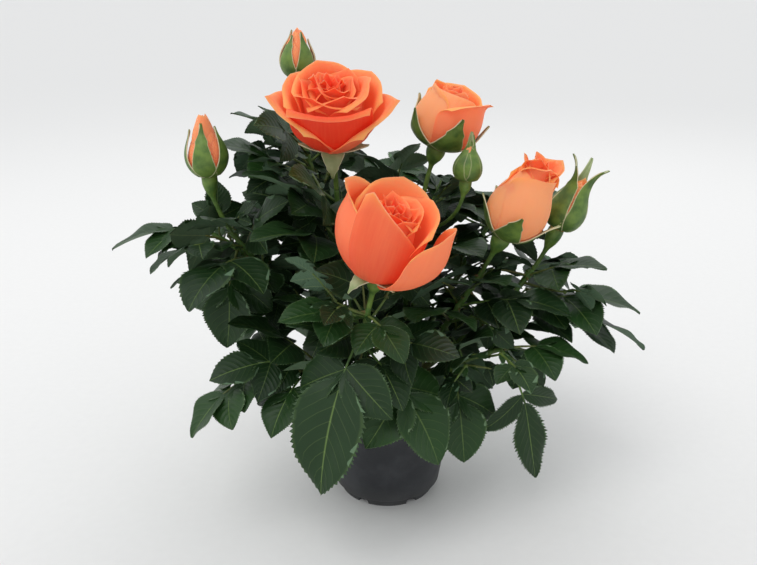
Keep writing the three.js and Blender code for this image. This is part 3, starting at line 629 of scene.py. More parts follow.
def ruleRow(name, i, count, seed):
    leafEnd = leafEnds[name]
    high = leafEnd == 1 and i > count - 3
    return {
        "at": mix(cane["leafStart"] + 0.02, leafEnd - 0.02, (i + 0.6) / count),
        "bearing": i * leafRule["turn"] + 60 * chance(seed) + 40 * len(name),
        "rise": deal(30, 70, seed + 900) if high else deal(-25, 45, seed + 900),
        "reach": deal(60, 86, seed + 1800) * (0.75 if high else 1),
        "bend": deal(20, 50, seed + 2700),
        "roll": deal(-20, 20, seed + 3600),
        "leaflets": 3 if chance(seed + 4500) > 0.7 else 5,
        "size": deal(34, 46, seed + 5400) * (0.8 if high else 1),
        "sides": 1,
        "slim": deal(0.88, 1.04, seed + 6300),
    }


def growMasses():
    masses = {name: treeOf(f"{name}-leaves") for name in shoots}
    leaves = {name: [] for name in shoots}
    seed = 11
    for name, rows in leading.items():
        for numbers in rows:
            row = dict(zip(rowNames, (*numbers, 1, 1)[:10]))
            leaf = growLeaf(name, row, seed, True, masses[name])
            if leaf:
                leaves[name].append(leaf)
            seed += 1
    for name, curve in curves.items():
        count = math.floor(curve.length() * (leafEnds[name] - cane["leafStart"]) / leafRule["spacing"] + 0.5)
        for i in range(count):
            seed += 1
            leaf = growLeaf(name, ruleRow(name, i, count, seed), seed, False, masses[name])
            if leaf:
                leaves[name].append(leaf)
    return leaves


leaves = growMasses()
print("leaves", {name: len(found) for name, found in leaves.items()}, sum(map(len, leaves.values())))


# leaf blades

blade = {"thick": 0.36, "tooth": 0.024, "wave": 0.75, "belly": 0.049, "cup": 0.02, "broader": 0.036}
stipule = {"length": 9, "width": 3.4, "spread": 0.45, "tone": (0.9, 0.5, 0.5)}


def bladePattern(rows, columns, teeth):
    # a toothed blade as share along, share across, lift and tooth, its two sides closed at the rim
    bm = bmesh.new()
    bmesh.ops.create_grid(bm, x_segments=columns, y_segments=rows, size=1)
    rim = [e for e in bm.edges if all(abs(abs(v.co.x) - 1) < 1e-5 for v in e.verts)]
    bmesh.ops.subdivide_edges(bm, edges=rim, cuts=2 * teeth - 1)
    under = bmesh.ops.duplicate(bm, geom=bm.verts[:] + bm.edges[:] + bm.faces[:])["geom"]
    underFaces = [g for g in under if isinstance(g, bmesh.types.BMFace)]
    bmesh.ops.reverse_faces(bm, faces=underFaces)
    for f in underFaces:
        f.material_index = 1
    lower = {v for f in underFaces for v in f.verts}
    for v in bm.verts:
        s, t = v.co.x, (v.co.y + 1) / 2
        atEnd = t < 1e-5 or t > 1 - 1e-5
        onRim = abs(abs(s) - 1) < 1e-5
        lift = 0 if onRim or atEnd else (-0.5 if v in lower else 0.5)
        v.co = Vector((0 if atEnd else s, t, lift))
    bmesh.ops.remove_doubles(bm, verts=bm.verts, dist=1e-5)
    finish = [f.material_index for f in bm.faces]
    points, faces = arraysOf(bm)
    s, t, lift = points.T
    onRim = (np.abs(s) > 0.999) & (t > 0) & (t < 1)
    step = np.round(t * rows * teeth * 2).astype(int)
    tooth = np.where(onRim, np.where(step % 2 == 1, 1.0, -0.35), 0) * np.sign(s)
    t = np.where(onRim & (step % 2 == 1), t + 0.8 / (rows * teeth * 2), t)
    return {"t": t, "s": s, "lift": lift, "tooth": tooth, "faces": faces, "finish": finish}


# the tiny kind's lower tone is painted shade: the finer leaves that fill the inside of the crown are coloured
# darker
bladeKinds = {
    "common": {"pattern": bladePattern(5, 4, 3), "stalk": 0.8, "tone": 0.25},
    "large": {"pattern": bladePattern(9, 6, 3), "stalk": 0.95, "tone": 0.25},
    "tiny": {"pattern": bladePattern(4, 2, 2), "stalk": 0.8, "tone": 0.05},
}


def addBlades(heap, some, kind):
    leaflets, tones = zip(*some)
    pattern = bladeKinds[kind]["pattern"]
    t, s = pattern["t"], pattern["s"]
    count, size = len(leaflets), len(t)
    phase = rng.uniform(0, math.tau, (count, 1))
    sway = rng.normal(0, 1, (count, 1))
    length = np.array([leaf["length"] for leaf in leaflets])[:, None]
    outline = leafOutline(t)
    wave = blade["wave"] * (length / 40) * s**2 * np.sin(t * 13 + phase + s * 1.2)
    belly = blade["belly"] * length * (np.abs(s) - s**2) * outline  # each half bellies upwards
    cup = sway * blade["cup"] * length * s**2 * outline
    uneven = 1 + 0.35 * np.sin(t * 61 + phase * 3)
    edge = pattern["tooth"] * blade["tooth"] * np.sqrt(np.clip(outline, 0.05, 1)) * uneven
    edge = edge + blade["broader"] * s * (kind == "large") * outline + sway * 0.02 * np.sin(t * 3)
    lift = pattern["lift"] * blade["thick"] + wave + belly + cup
    places = onLeaflets(leaflets, t[None].repeat(count, 0), s[None], lift, edge)
    faces = [[c + start for c in face] for start in range(0, count * size, size) for face in pattern["faces"]]
    sheet = np.tile(np.stack([s * 0.5 + 0.5, t], axis=1), (count, 1))
    heap.add(places.reshape(-1, 3), faces, pattern["finish"] * count, sheet, np.repeat(tones, size, axis=0))


def addLeaf(stalks, sets, leaf):
    seed, kind = leaf["seed"], bladeKinds[leaf["kind"]]
    tone = kind["tone"] + 0.6 * chance(seed * 5 + 1)
    if leaf["kind"] == "large" and leaf["leaflets"][0]["root"][1] < -60:  # lighter in tone at the front
        tone += 0.15
    for n, leaflet in enumerate(leaf["leaflets"]):
        shade = (tone + 0.2 * (chance(seed * 31 + n) - 0.5), chance(seed * 7 + n), chance(seed * 3 + n))
        sets[leaf["kind"]].append((leaflet, shade))
    thickness = lambda t: mix(kind["stalk"], 0.55, t) + 0.8 * np.exp(-t * 25)
    tube(stalks, leaf["stalk"], 0.0, 1.0, thickness, 6, 10, 0, (0, 0.7 * chance(seed * 9), 0))
    away = leaf["stalk"].way(0.1)
    level = unit(np.cross(away, vec(0, 0, 1)))
    for side in (-1, 1):  # a pair of narrow wings at the foot of the stalk
        wing = {"root": leaf["stalk"].at(0.03), "along": unit(away + level * side * stipule["spread"])}
        wing |= {"face": unit(np.cross(level, away)), "length": stipule["length"], "width": stipule["width"]}
        sets["tiny"].append((wing, stipule["tone"]))


def makeFoliage():
    stalks = Heap()
    for name, found in leaves.items():
        heap = Heap()
        sets = {kind: [] for kind in bladeKinds}
        for leaf in found + finer[name]:
            addLeaf(stalks, sets, leaf)
        for kind, some in sets.items():
            if some:
                addBlades(heap, some, kind)
        made = heap.object(f"{name}-foliage", ["leafTop", "leafUnder"])
        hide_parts(f"{name}-leaves")
    for number, twig in enumerate(twigs):
        tube(stalks, twig, 0, 1, lambda t: mix(0.95, 0.6, t), 6, 10, 0, (0, 0.5 * chance(number), 0))
    made = stalks.object("leafStalks", ["leafStalk"])


# stems and canes with bark relief and prickles

prickle = {"length": 3.4, "foot": 1.25, "tip": 0.04, "spacing": 13}
trunk = {"radius": 2.8, "flare": 1.7, "sunk": 1.5, "knuckle": 3.4, "swell": 3.3, "scarAt": 0.55, "scar": 0.3}
bark = {"wide": 0.22, "fine": 0.16, "knot": 0.35, "stub": 0.12}  # how far its relief stands out


def addPrickles(heap, curve, start, end, count, seed):
    for i in range(count):
        t = mix(start, end, (i + 0.3 + 0.5 * chance(seed + i)) / count)
        along, root = curve.way(t), curve.at(t)
        level = unit(np.cross(along, vec(0.3, 0.9, 0.1)))
        out = turnedAbout(level, along, 137 * i + 90 * chance(seed + i + 50))
        r = float(girth(t))
        foot = root + out * r * 0.6
        size = prickle["length"] * (0.6 + 0.5 * chance(seed + i + 90))
        tip = root + out * (r + size) - along * size * 0.45
        bow = Curve(foot, foot + out * size * 0.6, tip)
        tube(heap, bow, 0, 1, lambda t: prickle["foot"] * (1 - t) ** 1.3 + prickle["tip"], 6, 5, 1, (0, 1, 0))


def makeLimbs():
    wood, green = Heap(), Heap()
    plain = (0, 0, 0)
    for number, stem in enumerate(stems.values()):
        foot, fork = vec(*stem["foot"], cane["mixTop"]), vec(*stem["fork"])
        rise = vec(foot[0] * 1.05, foot[1] * 1.05, mix(foot[2], fork[2], 0.5))
        curve = Curve(foot - vec(0, 0, trunk["sunk"]), rise, fork)
        scar = lambda t: trunk["scar"] * np.exp(-(((t - trunk["scarAt"]) / 0.05) ** 2))
        fine = lambda t, a: bark["fine"] * np.sin(a * 5 - t * 21)
        lump = lambda t, a: bark["wide"] * np.sin(a * 3 + t * 9 + number) + fine(t, a) + scar(t)
        taper = lambda t: trunk["radius"] + trunk["flare"] * np.exp(-7 * t)
        tube(wood, curve, 0, 1, taper, 18, 24, 0, plain, lump)
        half = vec(0, 0, trunk["knuckle"])
        knuckle = Curve(fork - half, fork, fork + half)
        swelling = lambda t: trunk["swell"] * np.sqrt(np.clip(1 - (2 * t - 1) ** 2, 0.02, 1))
        tube(wood, knuckle, 0, 1, swelling, 14, 10, 0, plain, lump)
    for number, (name, curve) in enumerate(curves.items()):
        joints = [leaf["at"] for leaf in leaves[name]]
        knot = lambda t, a: sum((bark["knot"] * np.exp(-(((t - at) / 0.012) ** 2)) for at in joints), 0 * t)
        stub = lambda t, a: bark["stub"] * np.sin(a * 4 + t * 40 + number)
        tube(wood, curve, 0, cane["stub"] + 0.01, lambda t: girth(t) + bark["stub"], 12, 8, 0, plain, stub)
        tube(green, curve, cane["stub"], leafEnds[name] + 0.002, girth, 12, 60, 0, plain, knot)
        count = max(2, round(curve.length() * (leafEnds[name] - 0.1) / prickle["spacing"]))
        addPrickles(green, curve, 0.1, leafEnds[name], count, number * 40 + 3)
    made = wood.object("woodyStems", ["wood"])
    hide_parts(*[f"{name}-stem" for name in stems])
    made = green.object("greenCanes", ["cane", "leafStalk"])
    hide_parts(*[f"{name}-cane" for name in shoots])


makeLimbs()
print("limbs made")


# blooms and buds

petalGrid, petalFaces = gridPattern(20, 18)
petalRim = np.abs(petalGrid).max(axis=1) > 0.999
sheetThick = {"petal": 0.55, "sepal": 0.7}
# shares across and along each petal, with closer columns at the margins
petalPlaces = np.sin(petalGrid[:, 0] * math.pi / 2), (np.sin(petalGrid[:, 1]) + 1) / 2
petalCommon = {
    "start": 1.8, "flat": 1.1, "round": 0.16, "fall": 3, "point": 0.03, "apex": 0, "edge": 10, "lip": 30,
    "curl": 30, "ruffle": 3, "wrinkle": 0.2, "spiral": 0.8, "tone": 0.2, "depth": 0,
}  # fmt: skip

# blooms: axis and hip; outer petals one by one as turn, length, width, lean from the foot to
# the rim, tone, lip, curl and what else differs; then rings as count, turn, length, width,
# lean, lip, tone and depth of colour, which is partly the petals' own deeper red and partly
# painted shade. Buds have a heart: its radius and height
blooms = {
    "front": {
        "axis": (0.24, -0.2, 0.95),
        "hip": (4.9, 9),
        "petals": [
            (268, 74, 42, (78, 44, 10, -8, -10), 0.2, 10, 40,
             {"round": 0.31, "fall": 1.15, "apex": 0.82, "point": 0.02, "edge": 2, "start": 4.6,
              "depth": 0.6}),
            (331, 61, 46, (86, 61, 24, -6, -14), 0.4, 25, 110,
             {"round": 0.3, "start": 5.0, "point": 0.06, "depth": 0.3}),
            (32, 53, 50, (66, 34, 12, 4, 18), 0.15, 30, 30, {"round": 0.2}),
            (84, 58, 54, (68, 36, 12, 2, 12), 0.1, 40, 30, {"round": 0.22}),
            (170, 66, 58, (82, 54, 16, -22, -38), 0.15, 100, 40, {"round": 0.22, "start": 2.4}),
        ],
        "rings": [
            (3, 290, 48, 44, (60, 24, 2, -6, 0), 50, 0.25, 0.2),
            (3, 230, 47, 36, (48, 18, 0, -8, 0), 50, 0.1, 0.4),
            (3, 280, 46, 28, (36, 12, -2, -8, 0), 40, 0.0, 0.65),
            (3, 235, 45, 20, (24, 6, -2, -4, 0), 20, 0.0, 0.85),
            (3, 280, 44, 12, (10, 2, 0, 0, 0), 5, 0.0, 1.0),
        ],
    },
    "open": {
        "axis": (0, -0.38, 0.92),
        "hip": (5.1, 9),
        "petals": [
            (187, 48, 52, (78, 48, 28, 20, 30), 0.2, 70, 90, {"point": 0.1, "round": 0.3, "start": 3.0}),
            (353, 47, 52, (78, 50, 32, 24, 34), 0.2, 70, 90, {"point": 0.1, "round": 0.3, "start": 3.0}),
            (42, 49, 46, (74, 42, 22, 12, 24), 0.15, 60, 50, {}),
            (98, 48, 42, (70, 38, 18, 8, 14), 0.2, 50, 40, {}),
            (146, 49, 46, (74, 42, 22, 12, 24), 0.15, 60, 50, {}),
            # its depth of 0.95 is painted shade: this front petal is coloured deep red where it lies in
            # shadow between the guard petals
            (268, 52, 50, (78, 50, 18, -2, 4), 0, 150, 10,
             {"depth": 0.95, "point": 0, "round": -0.03, "start": 2.4}),
        ],
        "rings": [
            (3, 236, 50, 48, (64, 32, 10, 2, 8), 110, 0.15, 0.3),
            (3, 294, 48, 42, (58, 26, 6, 2, 8), 90, 0.1, 0.4),
            (3, 245, 47, 34, (48, 18, 4, 0, 6), 70, 0.1, 0.55),
            (4, 285, 46, 25, (38, 12, 2, 0, 8), 60, 0.05, 0.65),
            (4, 250, 45, 19, (28, 6, 0, 0, 10), 50, 0.0, 0.8),
            (5, 280, 44, 12, (14, 2, 0, 0, 10), 40, 0.0, 0.95),
        ],
    },
    "rear": {
        "axis": (0.3, -0.06, 0.95),
        "hip": (5.8, 10),
        "petals": [
            (236, 50, 58, (88, 58, 4, -30, -46), 0.9, 20, 6, {"edge": 2, "point": 0}),
            (325, 50, 52, (88, 56, 8, -16, -4), 0.35, 100, 30, {"round": 0.2, "start": 2.6}),
            (70, 50, 50, (86, 54, 2, -24, -26), 0.6, 50, 30, {}),
            (150, 50, 54, (88, 54, 2, -28, -36), 0.8, 40, 30, {}),
        ],
        "rings": [
            (3, 300, 44, 42, (70, 34, -6, -26, -30), 40, 0.5, 0.1),
            (3, 250, 42, 32, (56, 22, -6, -20, -20), 40, 0.3, 0.25),
            (3, 280, 40, 20, (36, 10, -6, -12, -8), 20, 0.2, 0.4),
        ],
    },
    "right": {
        "axis": (0.42, -0.1, 0.9),
        "hip": (5.6, 10),
        "petals": [
            (236, 54, 58, (82, 42, -6, -34, -40), 1.0, 10, 4, {"edge": 0, "round": 0.12, "point": 0}),
            (318, 56, 54, (82, 42, -4, -32, -24), 0.85, 40, 10, {}),
            (60, 55, 50, (80, 38, -4, -30, -24), 0.8, 40, 30, {}),
            (150, 55, 54, (82, 40, -6, -32, -34), 0.9, 30, 30, {}),
        ],
        "rings": [
            (3, 280, 59, 36, (66, 26, -10, -28, -4), 100, 0.35, 0.1),
            (3, 240, 59, 26, (50, 18, -10, -22, 0), 90, 0.2, 0.25),
            (3, 270, 58, 16, (32, 8, -8, -10, 6), 50, 0.1, 0.4),
        ],
    },
    "top": {"axis": (0.03, 0, 1), "hip": (3.6, 7), "heart": (7.6, 27), "tone": 0.6},
    "left": {"axis": (-0.05, 0, 1), "hip": (4.6, 11), "heart": (10, 34), "tone": 0.6},
    "small": {"axis": smallStalk["axis"], "hip": (3.6, 7), "heart": (6.2, 19), "tone": 0.6},
    "far-right": {"axis": (0.4, 0, 0.92), "hip": (4.8, 12), "heart": (9.4, 33), "tone": 1.0},
}
budPetal = {"lean": (72, 30, -14, -40, -52), "length": 1.16, "width": 3.1, "less": 0.22}

# sepals: turn of the first, length, width, lean from the foot to the tip; where they hug
# the petals, the share of the way round that they cover and the lean of the free tips
sepals = {
    "front": {"turn": 218, "length": 20, "width": 11, "lean": (60, 100, 130, 150, 165)},
    "open": {"turn": 268, "length": 20, "width": 13, "lean": (70, 110, 150, 165, 172)},
    "rear": {"turn": 282, "length": 37, "width": 22, "hug": 0.66, "tip": (0, 34)},
    "right": {"turn": 262, "length": 35, "width": 18, "hug": 0.42, "tip": (12, 50)},
    "top": {"turn": 234, "length": 32, "width": 12.5, "hug": 0.8, "tip": (-14, 4)},
    "left": {"turn": 270, "length": 38, "width": 14, "hug": 0.8, "tip": (-12, 6)},
    "small": {"turn": 262, "length": 33, "width": 18, "hug": 0.7, "tip": (-38, 16), "margin": 0.3},
    "far-right": {"turn": 222, "length": 54, "width": 15.5, "hug": 0.62, "tip": (-4, 70)},
}
otherSepals = {"front": (80, 84, 78, 74, 80), "open": (82, 86, 76, 66, 60)}  # the lean of all but the first
sepalCommon = {**petalCommon, "edge": 0, "lip": 0, "curl": 0, "round": 0, "point": 0}
sepalCommon |= {"start": 3.0, "spiral": 0, "wrinkle": 0.1}
leanSteps = (0, 0.25, 0.5, 0.75, 1)  # shares of the way from the foot to the rim


def flowerFrame(origin, axis):
    up = unit(vec(*axis))
    side = unit(vec(1, 0, 0) - up * up[0])
    return {"origin": origin, "up": up, "side": side, "face": np.cross(side, up)}


def leanSheet(flower, petal, seed, broad):
    # places on a petal or sepal, its lean followed from the foot to the rim
    u, v = petalPlaces
    fine = np.linspace(0, 1, 41)
    lean = np.interp(fine, leanSteps, petal["lean"])
    lean = np.convolve(np.pad(lean, 4, mode="edge"), np.ones(9) / 9, mode="valid")
    out, high = np.zeros_like(u), np.zeros_like(u)
    for column in np.unique(np.round(u, 6)):
        mine = np.abs(u - column) < 1e-5
        more = petal["edge"] * column**2 + petal["ruffle"] * math.sin(column * 4.5 + seed)
        now = np.radians(lean + more * smooth(0.45, 1.1, fine) + petal["lip"] * smooth(0.74, 1.0, fine))[1:]
        away = abs(column - petal["apex"])
        reach = 1 - petal["round"] * away ** petal["fall"] + petal["point"] * max(0, 1 - 2.2 * away) ** 2
        step = petal["length"] * reach / (len(fine) - 1)
        outs, highs = (np.append(0, np.cumsum(part(now) * step)) for part in (np.sin, np.cos))
        out[mine] = np.interp(v[mine], fine, outs + petal["start"])
        high[mine] = np.interp(v[mine], fine, highs)
    half = 0.5 * petal["width"] * broad
    bow = np.maximum(2.2, out) * petal["flat"]
    hold = 0.8  # beyond this share of the half width the margin rolls back
    arc = np.clip(np.minimum(np.abs(u), hold) * half / bow, 0, 2.6)
    past = np.maximum(0, np.abs(u) - hold)
    roll = np.radians(petal["curl"]) * smooth(0.2, 0.75, v) * past / (1 - hold) + 1e-4
    ahead, back = past * half * np.sin(roll) / roll, past * half * (1 - np.cos(roll)) / roll
    radial = out - bow * (1 - np.cos(arc)) - ahead * np.sin(arc) + back * np.cos(arc)
    radial += petal["spiral"] * u * np.minimum(1, v * 2)
    radial += petal["wrinkle"] * v**3 * (np.sin(u * 9 + seed * 1.7) + 0.6 * np.sin(u * 17 + seed))
    aside = np.sign(u) * (bow * np.sin(arc) + ahead * np.cos(arc) + back * np.sin(arc))
    turn = math.radians(petal["turn"])
    spoke = flower["side"] * math.cos(turn) - flower["face"] * math.sin(turn)
    across = flower["side"] * math.sin(turn) + flower["face"] * math.cos(turn)
    rise = flower["up"] * (petal["base"] + high)[:, None]
    return flower["origin"] + spoke * radial[:, None] + across * aside[:, None] + rise


def addSkins(heap, points, kind, spray):
    # two skins of one sheet, outside and inside, closed at the rim
    u, v = petalPlaces
    normal = np.zeros_like(points)
    for face in petalFaces:
        a, b, c = points[face[:3]]
        normal[face] += np.cross(b - a, c - a)
    normal /= np.maximum(1e-9, np.linalg.norm(normal, axis=1, keepdims=True))
    lift = normal * np.where(petalRim, 0, sheetThick[kind] / 2)[:, None]
    index = np.arange(len(points))
    lower = np.where(petalRim, index, index + len(points))
    used = np.concatenate([np.ones(len(points), dtype=bool), ~petalRim])
    renumber = np.cumsum(used) - 1
    both = petalFaces + [lower[face[::-1]] for face in petalFaces]
    sheet = np.tile(np.stack([u * 0.5 + 0.5, v], axis=1), (2, 1))
    finish = [1] * len(petalFaces) + [0] * len(petalFaces)
    places = np.concatenate([points + lift, points - lift])
    heap.add(places[used], [renumber[face].tolist() for face in both], finish, sheet[used], spray)


def addPetal(heap, flower, base, seed, turn, length, width, lean, **other):
    petal = {**petalCommon, "turn": turn, "length": length, "width": width, "lean": lean, "base": base}
    petal |= other
    v = petalPlaces[1]
    broad = 0.26 + 0.74 * np.sin(0.5 * np.pi * np.minimum(1, v / 0.62)) - 0.14 * smooth(0.7, 1, v)
    addSkins(heap, leanSheet(flower, petal, seed, broad), "petal", (petal["tone"], 0.2, petal["depth"]))


def addRing(heap, flower, base, seed, count, turn, length, width, lean, lip, tone, depth):
    common = {"depth": depth, "curl": 12, "ruffle": 10, "spiral": 1.3, "wrinkle": 0.25}
    common["start"] = max(0.4, 1.8 - depth * 1.4)
    for k in range(count):
        n = seed + k * 7
        turned = turn + k * 360 / count + 16 * (chance(n) - 0.5)
        long, wide = length * (0.93 + 0.12 * chance(n + 1)), width * (0.94 + 0.12 * chance(n + 2))
        leaning = tuple(a + 6 * (chance(n + 3 + i) - 0.5) for i, a in enumerate(lean))
        own = {"tone": max(0, tone + 0.2 * (chance(n + 9) - 0.5)), "lip": lip * (0.6 + 0.8 * chance(n + 13))}
        own["point"] = 0.1 * chance(n + 14)
        addPetal(heap, flower, base, n, turned, long, wide, leaning, **common, **own)


def sepalLean(name, bloom, length):
    # the lean of what the sepal lies on, at the same way along, then that of its free tip
    rule = sepals[name]
    if "lean" in rule:
        return rule["lean"]
    if "petals" in bloom:
        run, under = bloom["petals"][0][1], bloom["petals"][0][3]
    else:
        run, under = bloom["heart"][1] * budPetal["length"], budPetal["lean"]
    shares = np.array(leanSteps)
    lean = np.interp(shares * length / run, shares, under) + 2
    free = smooth(rule["hug"] - 0.1, rule["hug"] + 0.25, shares)
    return tuple(mix(lean, np.interp(shares, (0.4, 1), rule["tip"]), free))


def addSepals(heap, name, bloom, flower):
    rule = sepals[name]
    closed = "hug" in rule
    u, v = petalPlaces
    common = {**sepalCommon, "width": rule["width"], "flat": 1.0 if closed else 3}
    common["base"] = bloom["hip"][1] - (3.2 if closed else 1.2)
    taper = np.interp(v, (0, 0.12, 0.3, 0.5, 0.72, 0.86, 1), (0.75, 0.95, 1, 0.72, 0.3, 0.12, 0.03))
    for k in range(5):
        seed = k * 13 + len(name) * 7
        length = rule["length"] * (0.9 + 0.2 * chance(seed))
        lean = otherSepals[name] if k and name in otherSepals else sepalLean(name, bloom, length)
        lean = tuple(a + (8 if i > 2 else 0) * (chance(seed + i) - 0.5) for i, a in enumerate(lean))
        petal = {**common, "turn": rule["turn"] + k * 72, "length": length, "lean": lean}
        lobe = 0.13 * np.exp(-(((v - 0.62 - 0.1 * chance(seed + 7)) / 0.04) ** 2)) * (k in (0, 2))
        points = leanSheet(flower, petal, seed, taper + lobe * (np.abs(u) > 0.8))
        addSkins(heap, points, "sepal", (rule.get("margin", 0.9), 0.1, 0))


neck = {"below": 7, "foot": 6, "top": 7, "inside": 0.4}  # from the stalk into the hip
neckSteps = (0, 0.2, 0.45, 0.65, 0.85, 0.95, 1)


def addStalk(heap, name, bloom, flower):
    curve = bloomCurves[name]
    radius = (lambda t: mix(1.15, 1.05, t)) if name == "small" else girth
    tube(heap, curve, leafEnds.get(name, 0), 1.0, radius, 12, 16, 0, (0, 0.1, 0))
    hipRadius, hipLength = bloom["hip"]
    top = flower["origin"] + flower["up"] * (hipLength + neck["inside"])
    low = 1 - neck["below"] / curve.length()
    foot = curve.at(low)
    hip = Curve(foot, foot + curve.way(low) * neck["foot"], top - flower["up"] * neck["top"], top)
    thin = float(radius(1.0))
    sizes = (thin * 0.95, thin * 1.3, *(hipRadius * share for share in (0.8, 1, 1, 0.85, 0.5)))
    tube(heap, hip, 0, 1, lambda t: np.interp(t, neckSteps, sizes), 20, 18, 0, (0, 0.05, 0))


def makeBlooms():
    for number, (name, bloom) in enumerate(blooms.items()):
        flower = flowerFrame(bloomCurves[name].at(1.0), bloom["axis"])
        petals, greens = Heap(), Heap()
        base = bloom["hip"][1] - 3.0
        for k, (turn, length, width, lean, tone, lip, curl, other) in enumerate(bloom.get("petals", [])):
            own = {"tone": tone, "lip": lip, "curl": curl, **other}
            addPetal(petals, flower, base, number * 97 + k * 5, turn, length, width, lean, **own)
        rings = bloom.get("rings", [])
        if "heart" in bloom:
            radius, height = bloom["heart"]
            for layer in range(3):
                share = 1 - budPetal["less"] * layer
                size = height * budPetal["length"], radius * budPetal["width"] * share
                lean = tuple(a * share for a in budPetal["lean"])
                rings.append((3, 30 + 55 * layer, *size, lean, 0, bloom["tone"], 0.05 * layer))
        for r, ring in enumerate(rings):
            addRing(petals, flower, base, number * 997 + r * 31, *ring)
        addStalk(greens, name, bloom, flower)
        addSepals(greens, name, bloom, flower)
        made = petals.object(f"{name}-petals", ["petalOutside", "petalInside"])
        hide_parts(f"{name}-{'bud' if 'heart' in bloom else 'bloom'}")
        "green-bud" if name in ("small", "far-right") else "petals"
        made = greens.object(f"{name}-calyx", ["bud", "budInside"])


makeBlooms()
print("blooms made")


# finer sprays: side twigs along the canes with smaller compound leaves, wherever there is room

finerRule = {"spacing": 8, "tries": 10, "start": 0.14, "twig": (9, 34), "size": (24, 37)}
room = {"newLeaf": 0.45, "leaf": 0.3, "cane": 1.8, "newTwig": 0.9, "twig": 0.7}  # kept about each
crown = {"inside": 0.97, "margin": 1, "above": 60, "beforeBloom": 24}
leafTurns = ((1, 0), (0.7, 75), (0.45, -75))  # where on its twig a leaf stands, and how far it turns away
# the crown as it is seen from the camera, in columns and rows of the view
crownEdge = [
    (249, 100), (205, 118), (190, 160), (196, 196), (150, 200), (115, 230), (150, 262), (190, 335),
    (228, 340), (245, 370), (193, 425), (262, 422), (296, 488), (365, 458), (372, 402), (394, 402),
    (402, 450), (465, 482), (490, 385), (542, 480), (572, 420), (568, 358), (655, 368), (622, 292),
    (592, 250), (552, 232), (500, 205), (486, 178), (440, 172), (402, 142), (320, 110),
]  # fmt: skip
bloomDiscs = {"front": 56, "open": 58, "rear": 36, "right": 38}
bloomDiscs |= {"top": 22, "left": 24, "small": 20, "far-right": 30}


def inView(points):  # columns, rows and depths as the camera sees them
    down = math.radians(view["down"])
    offset = np.asarray(points) - np.array(view["place"])
    depth = offset @ vec(0, math.cos(down), -math.sin(down))
    high = offset @ vec(0, math.sin(down), math.cos(down))
    wide, tall = view["size"]
    focal = view["lens"] / view["sensor"] * wide
    return wide / 2 + focal * offset[..., 0] / depth, tall / 2 - focal * high / depth, depth


def inCrown(points):
    column, row, depth = inView(points)
    inside = np.zeros(len(points), dtype=bool)
    for (x0, y0), (x1, y1) in zip(crownEdge, crownEdge[1:] + crownEdge[:1]):
        if y0 != y1:
            inside ^= ((row < y0) != (row < y1)) & (column < x0 + (row - y0) * (x1 - x0) / (y1 - y0))
    low, high = np.array(cadLow) / mm + crown["margin"], np.array(cadHigh) / mm - crown["margin"]
    boxed = np.all((points > low) & (points < high), axis=1) & (points[:, 2] > crown["above"])
    if inside.mean() < crown["inside"] or not boxed.all():
        return False
    for name, radius in bloomDiscs.items():  # nothing stands before a bloom
        axis = unit(vec(*blooms[name]["axis"]))
        x, y, far = inView(bloomCurves[name].at(1.0) + axis * crown["beforeBloom"])
        if np.any((np.hypot(column - x, row - y) < radius) & (depth < far)):
            return False
    return True


class Shell:
    # a simple closed shape that stands for a limb or leaf while room is sought

    def __init__(self, points, faces):
        self.box = points.min(axis=0), points.max(axis=0)
        self.tree = BVHTree.FromPolygons(points.tolist(), faces)

    def meets(self, others):
        lows, highs = np.array([other.box for other in others]).reshape(-1, 2, 3).swapaxes(0, 1)
        near = np.all((lows <= self.box[1]) & (highs >= self.box[0]), axis=1)
        return any(self.tree.overlap(others[i].tree) for i in np.flatnonzero(near))


def surfaceShell(thing):
    mesh = thing.data
    return Shell(np.array([v.co[:] for v in mesh.vertices]) / mm, [p.vertices[:] for p in mesh.polygons])


def limbArrays(curve, start, end, radius, rings=6):
    heap = Heap()
    tube(heap, curve, start, end, radius, 5, rings, 0, (0, 0, 0))
    return heap.points[0], heap.faces


def leafArrays(leaf, clear):
    pattern = bladeKinds["tiny"]["pattern"]
    count, size = len(leaf["leaflets"]), len(pattern["t"])
    t = pattern["t"][None].repeat(count, 0)
    places = onLeaflets(leaf["leaflets"], t, pattern["s"][None], pattern["lift"] * 2 * clear)
    stalk, faces = limbArrays(leaf["stalk"], 0.15, 0.97, 0.5)
    for start in range(len(stalk), len(stalk) + count * size, size):
        faces = faces + [[c + start for c in face] for face in pattern["faces"]]
    return np.concatenate([stalk, places.reshape(-1, 3)]), faces


def finerLeaf(twig, bearing, rise, seed, tries, share, turn):
    size = deal(*finerRule["size"], seed) * (1 - 0.05 * tries)
    row = {
        "at": share,
        "bearing": bearing + turn + 50 * (chance(seed + 1) - 0.5),
        "rise": rise * 0.6 + deal(-35, 40, seed + 2),
        "reach": size * 0.95 + deal(9, 20, seed + 3),
        "bend": deal(10, 40, seed + 4),
        "roll": deal(-55, 55, seed + 5),
        "leaflets": 5 if chance(seed + 6) > 0.55 else 3,
        "size": size,
        "sides": 0.95,
        "slim": deal(1.0, 1.2, seed + 7),
    }
    return {**compoundLeaf(twig.at(share), row), "kind": "tiny", "seed": seed}


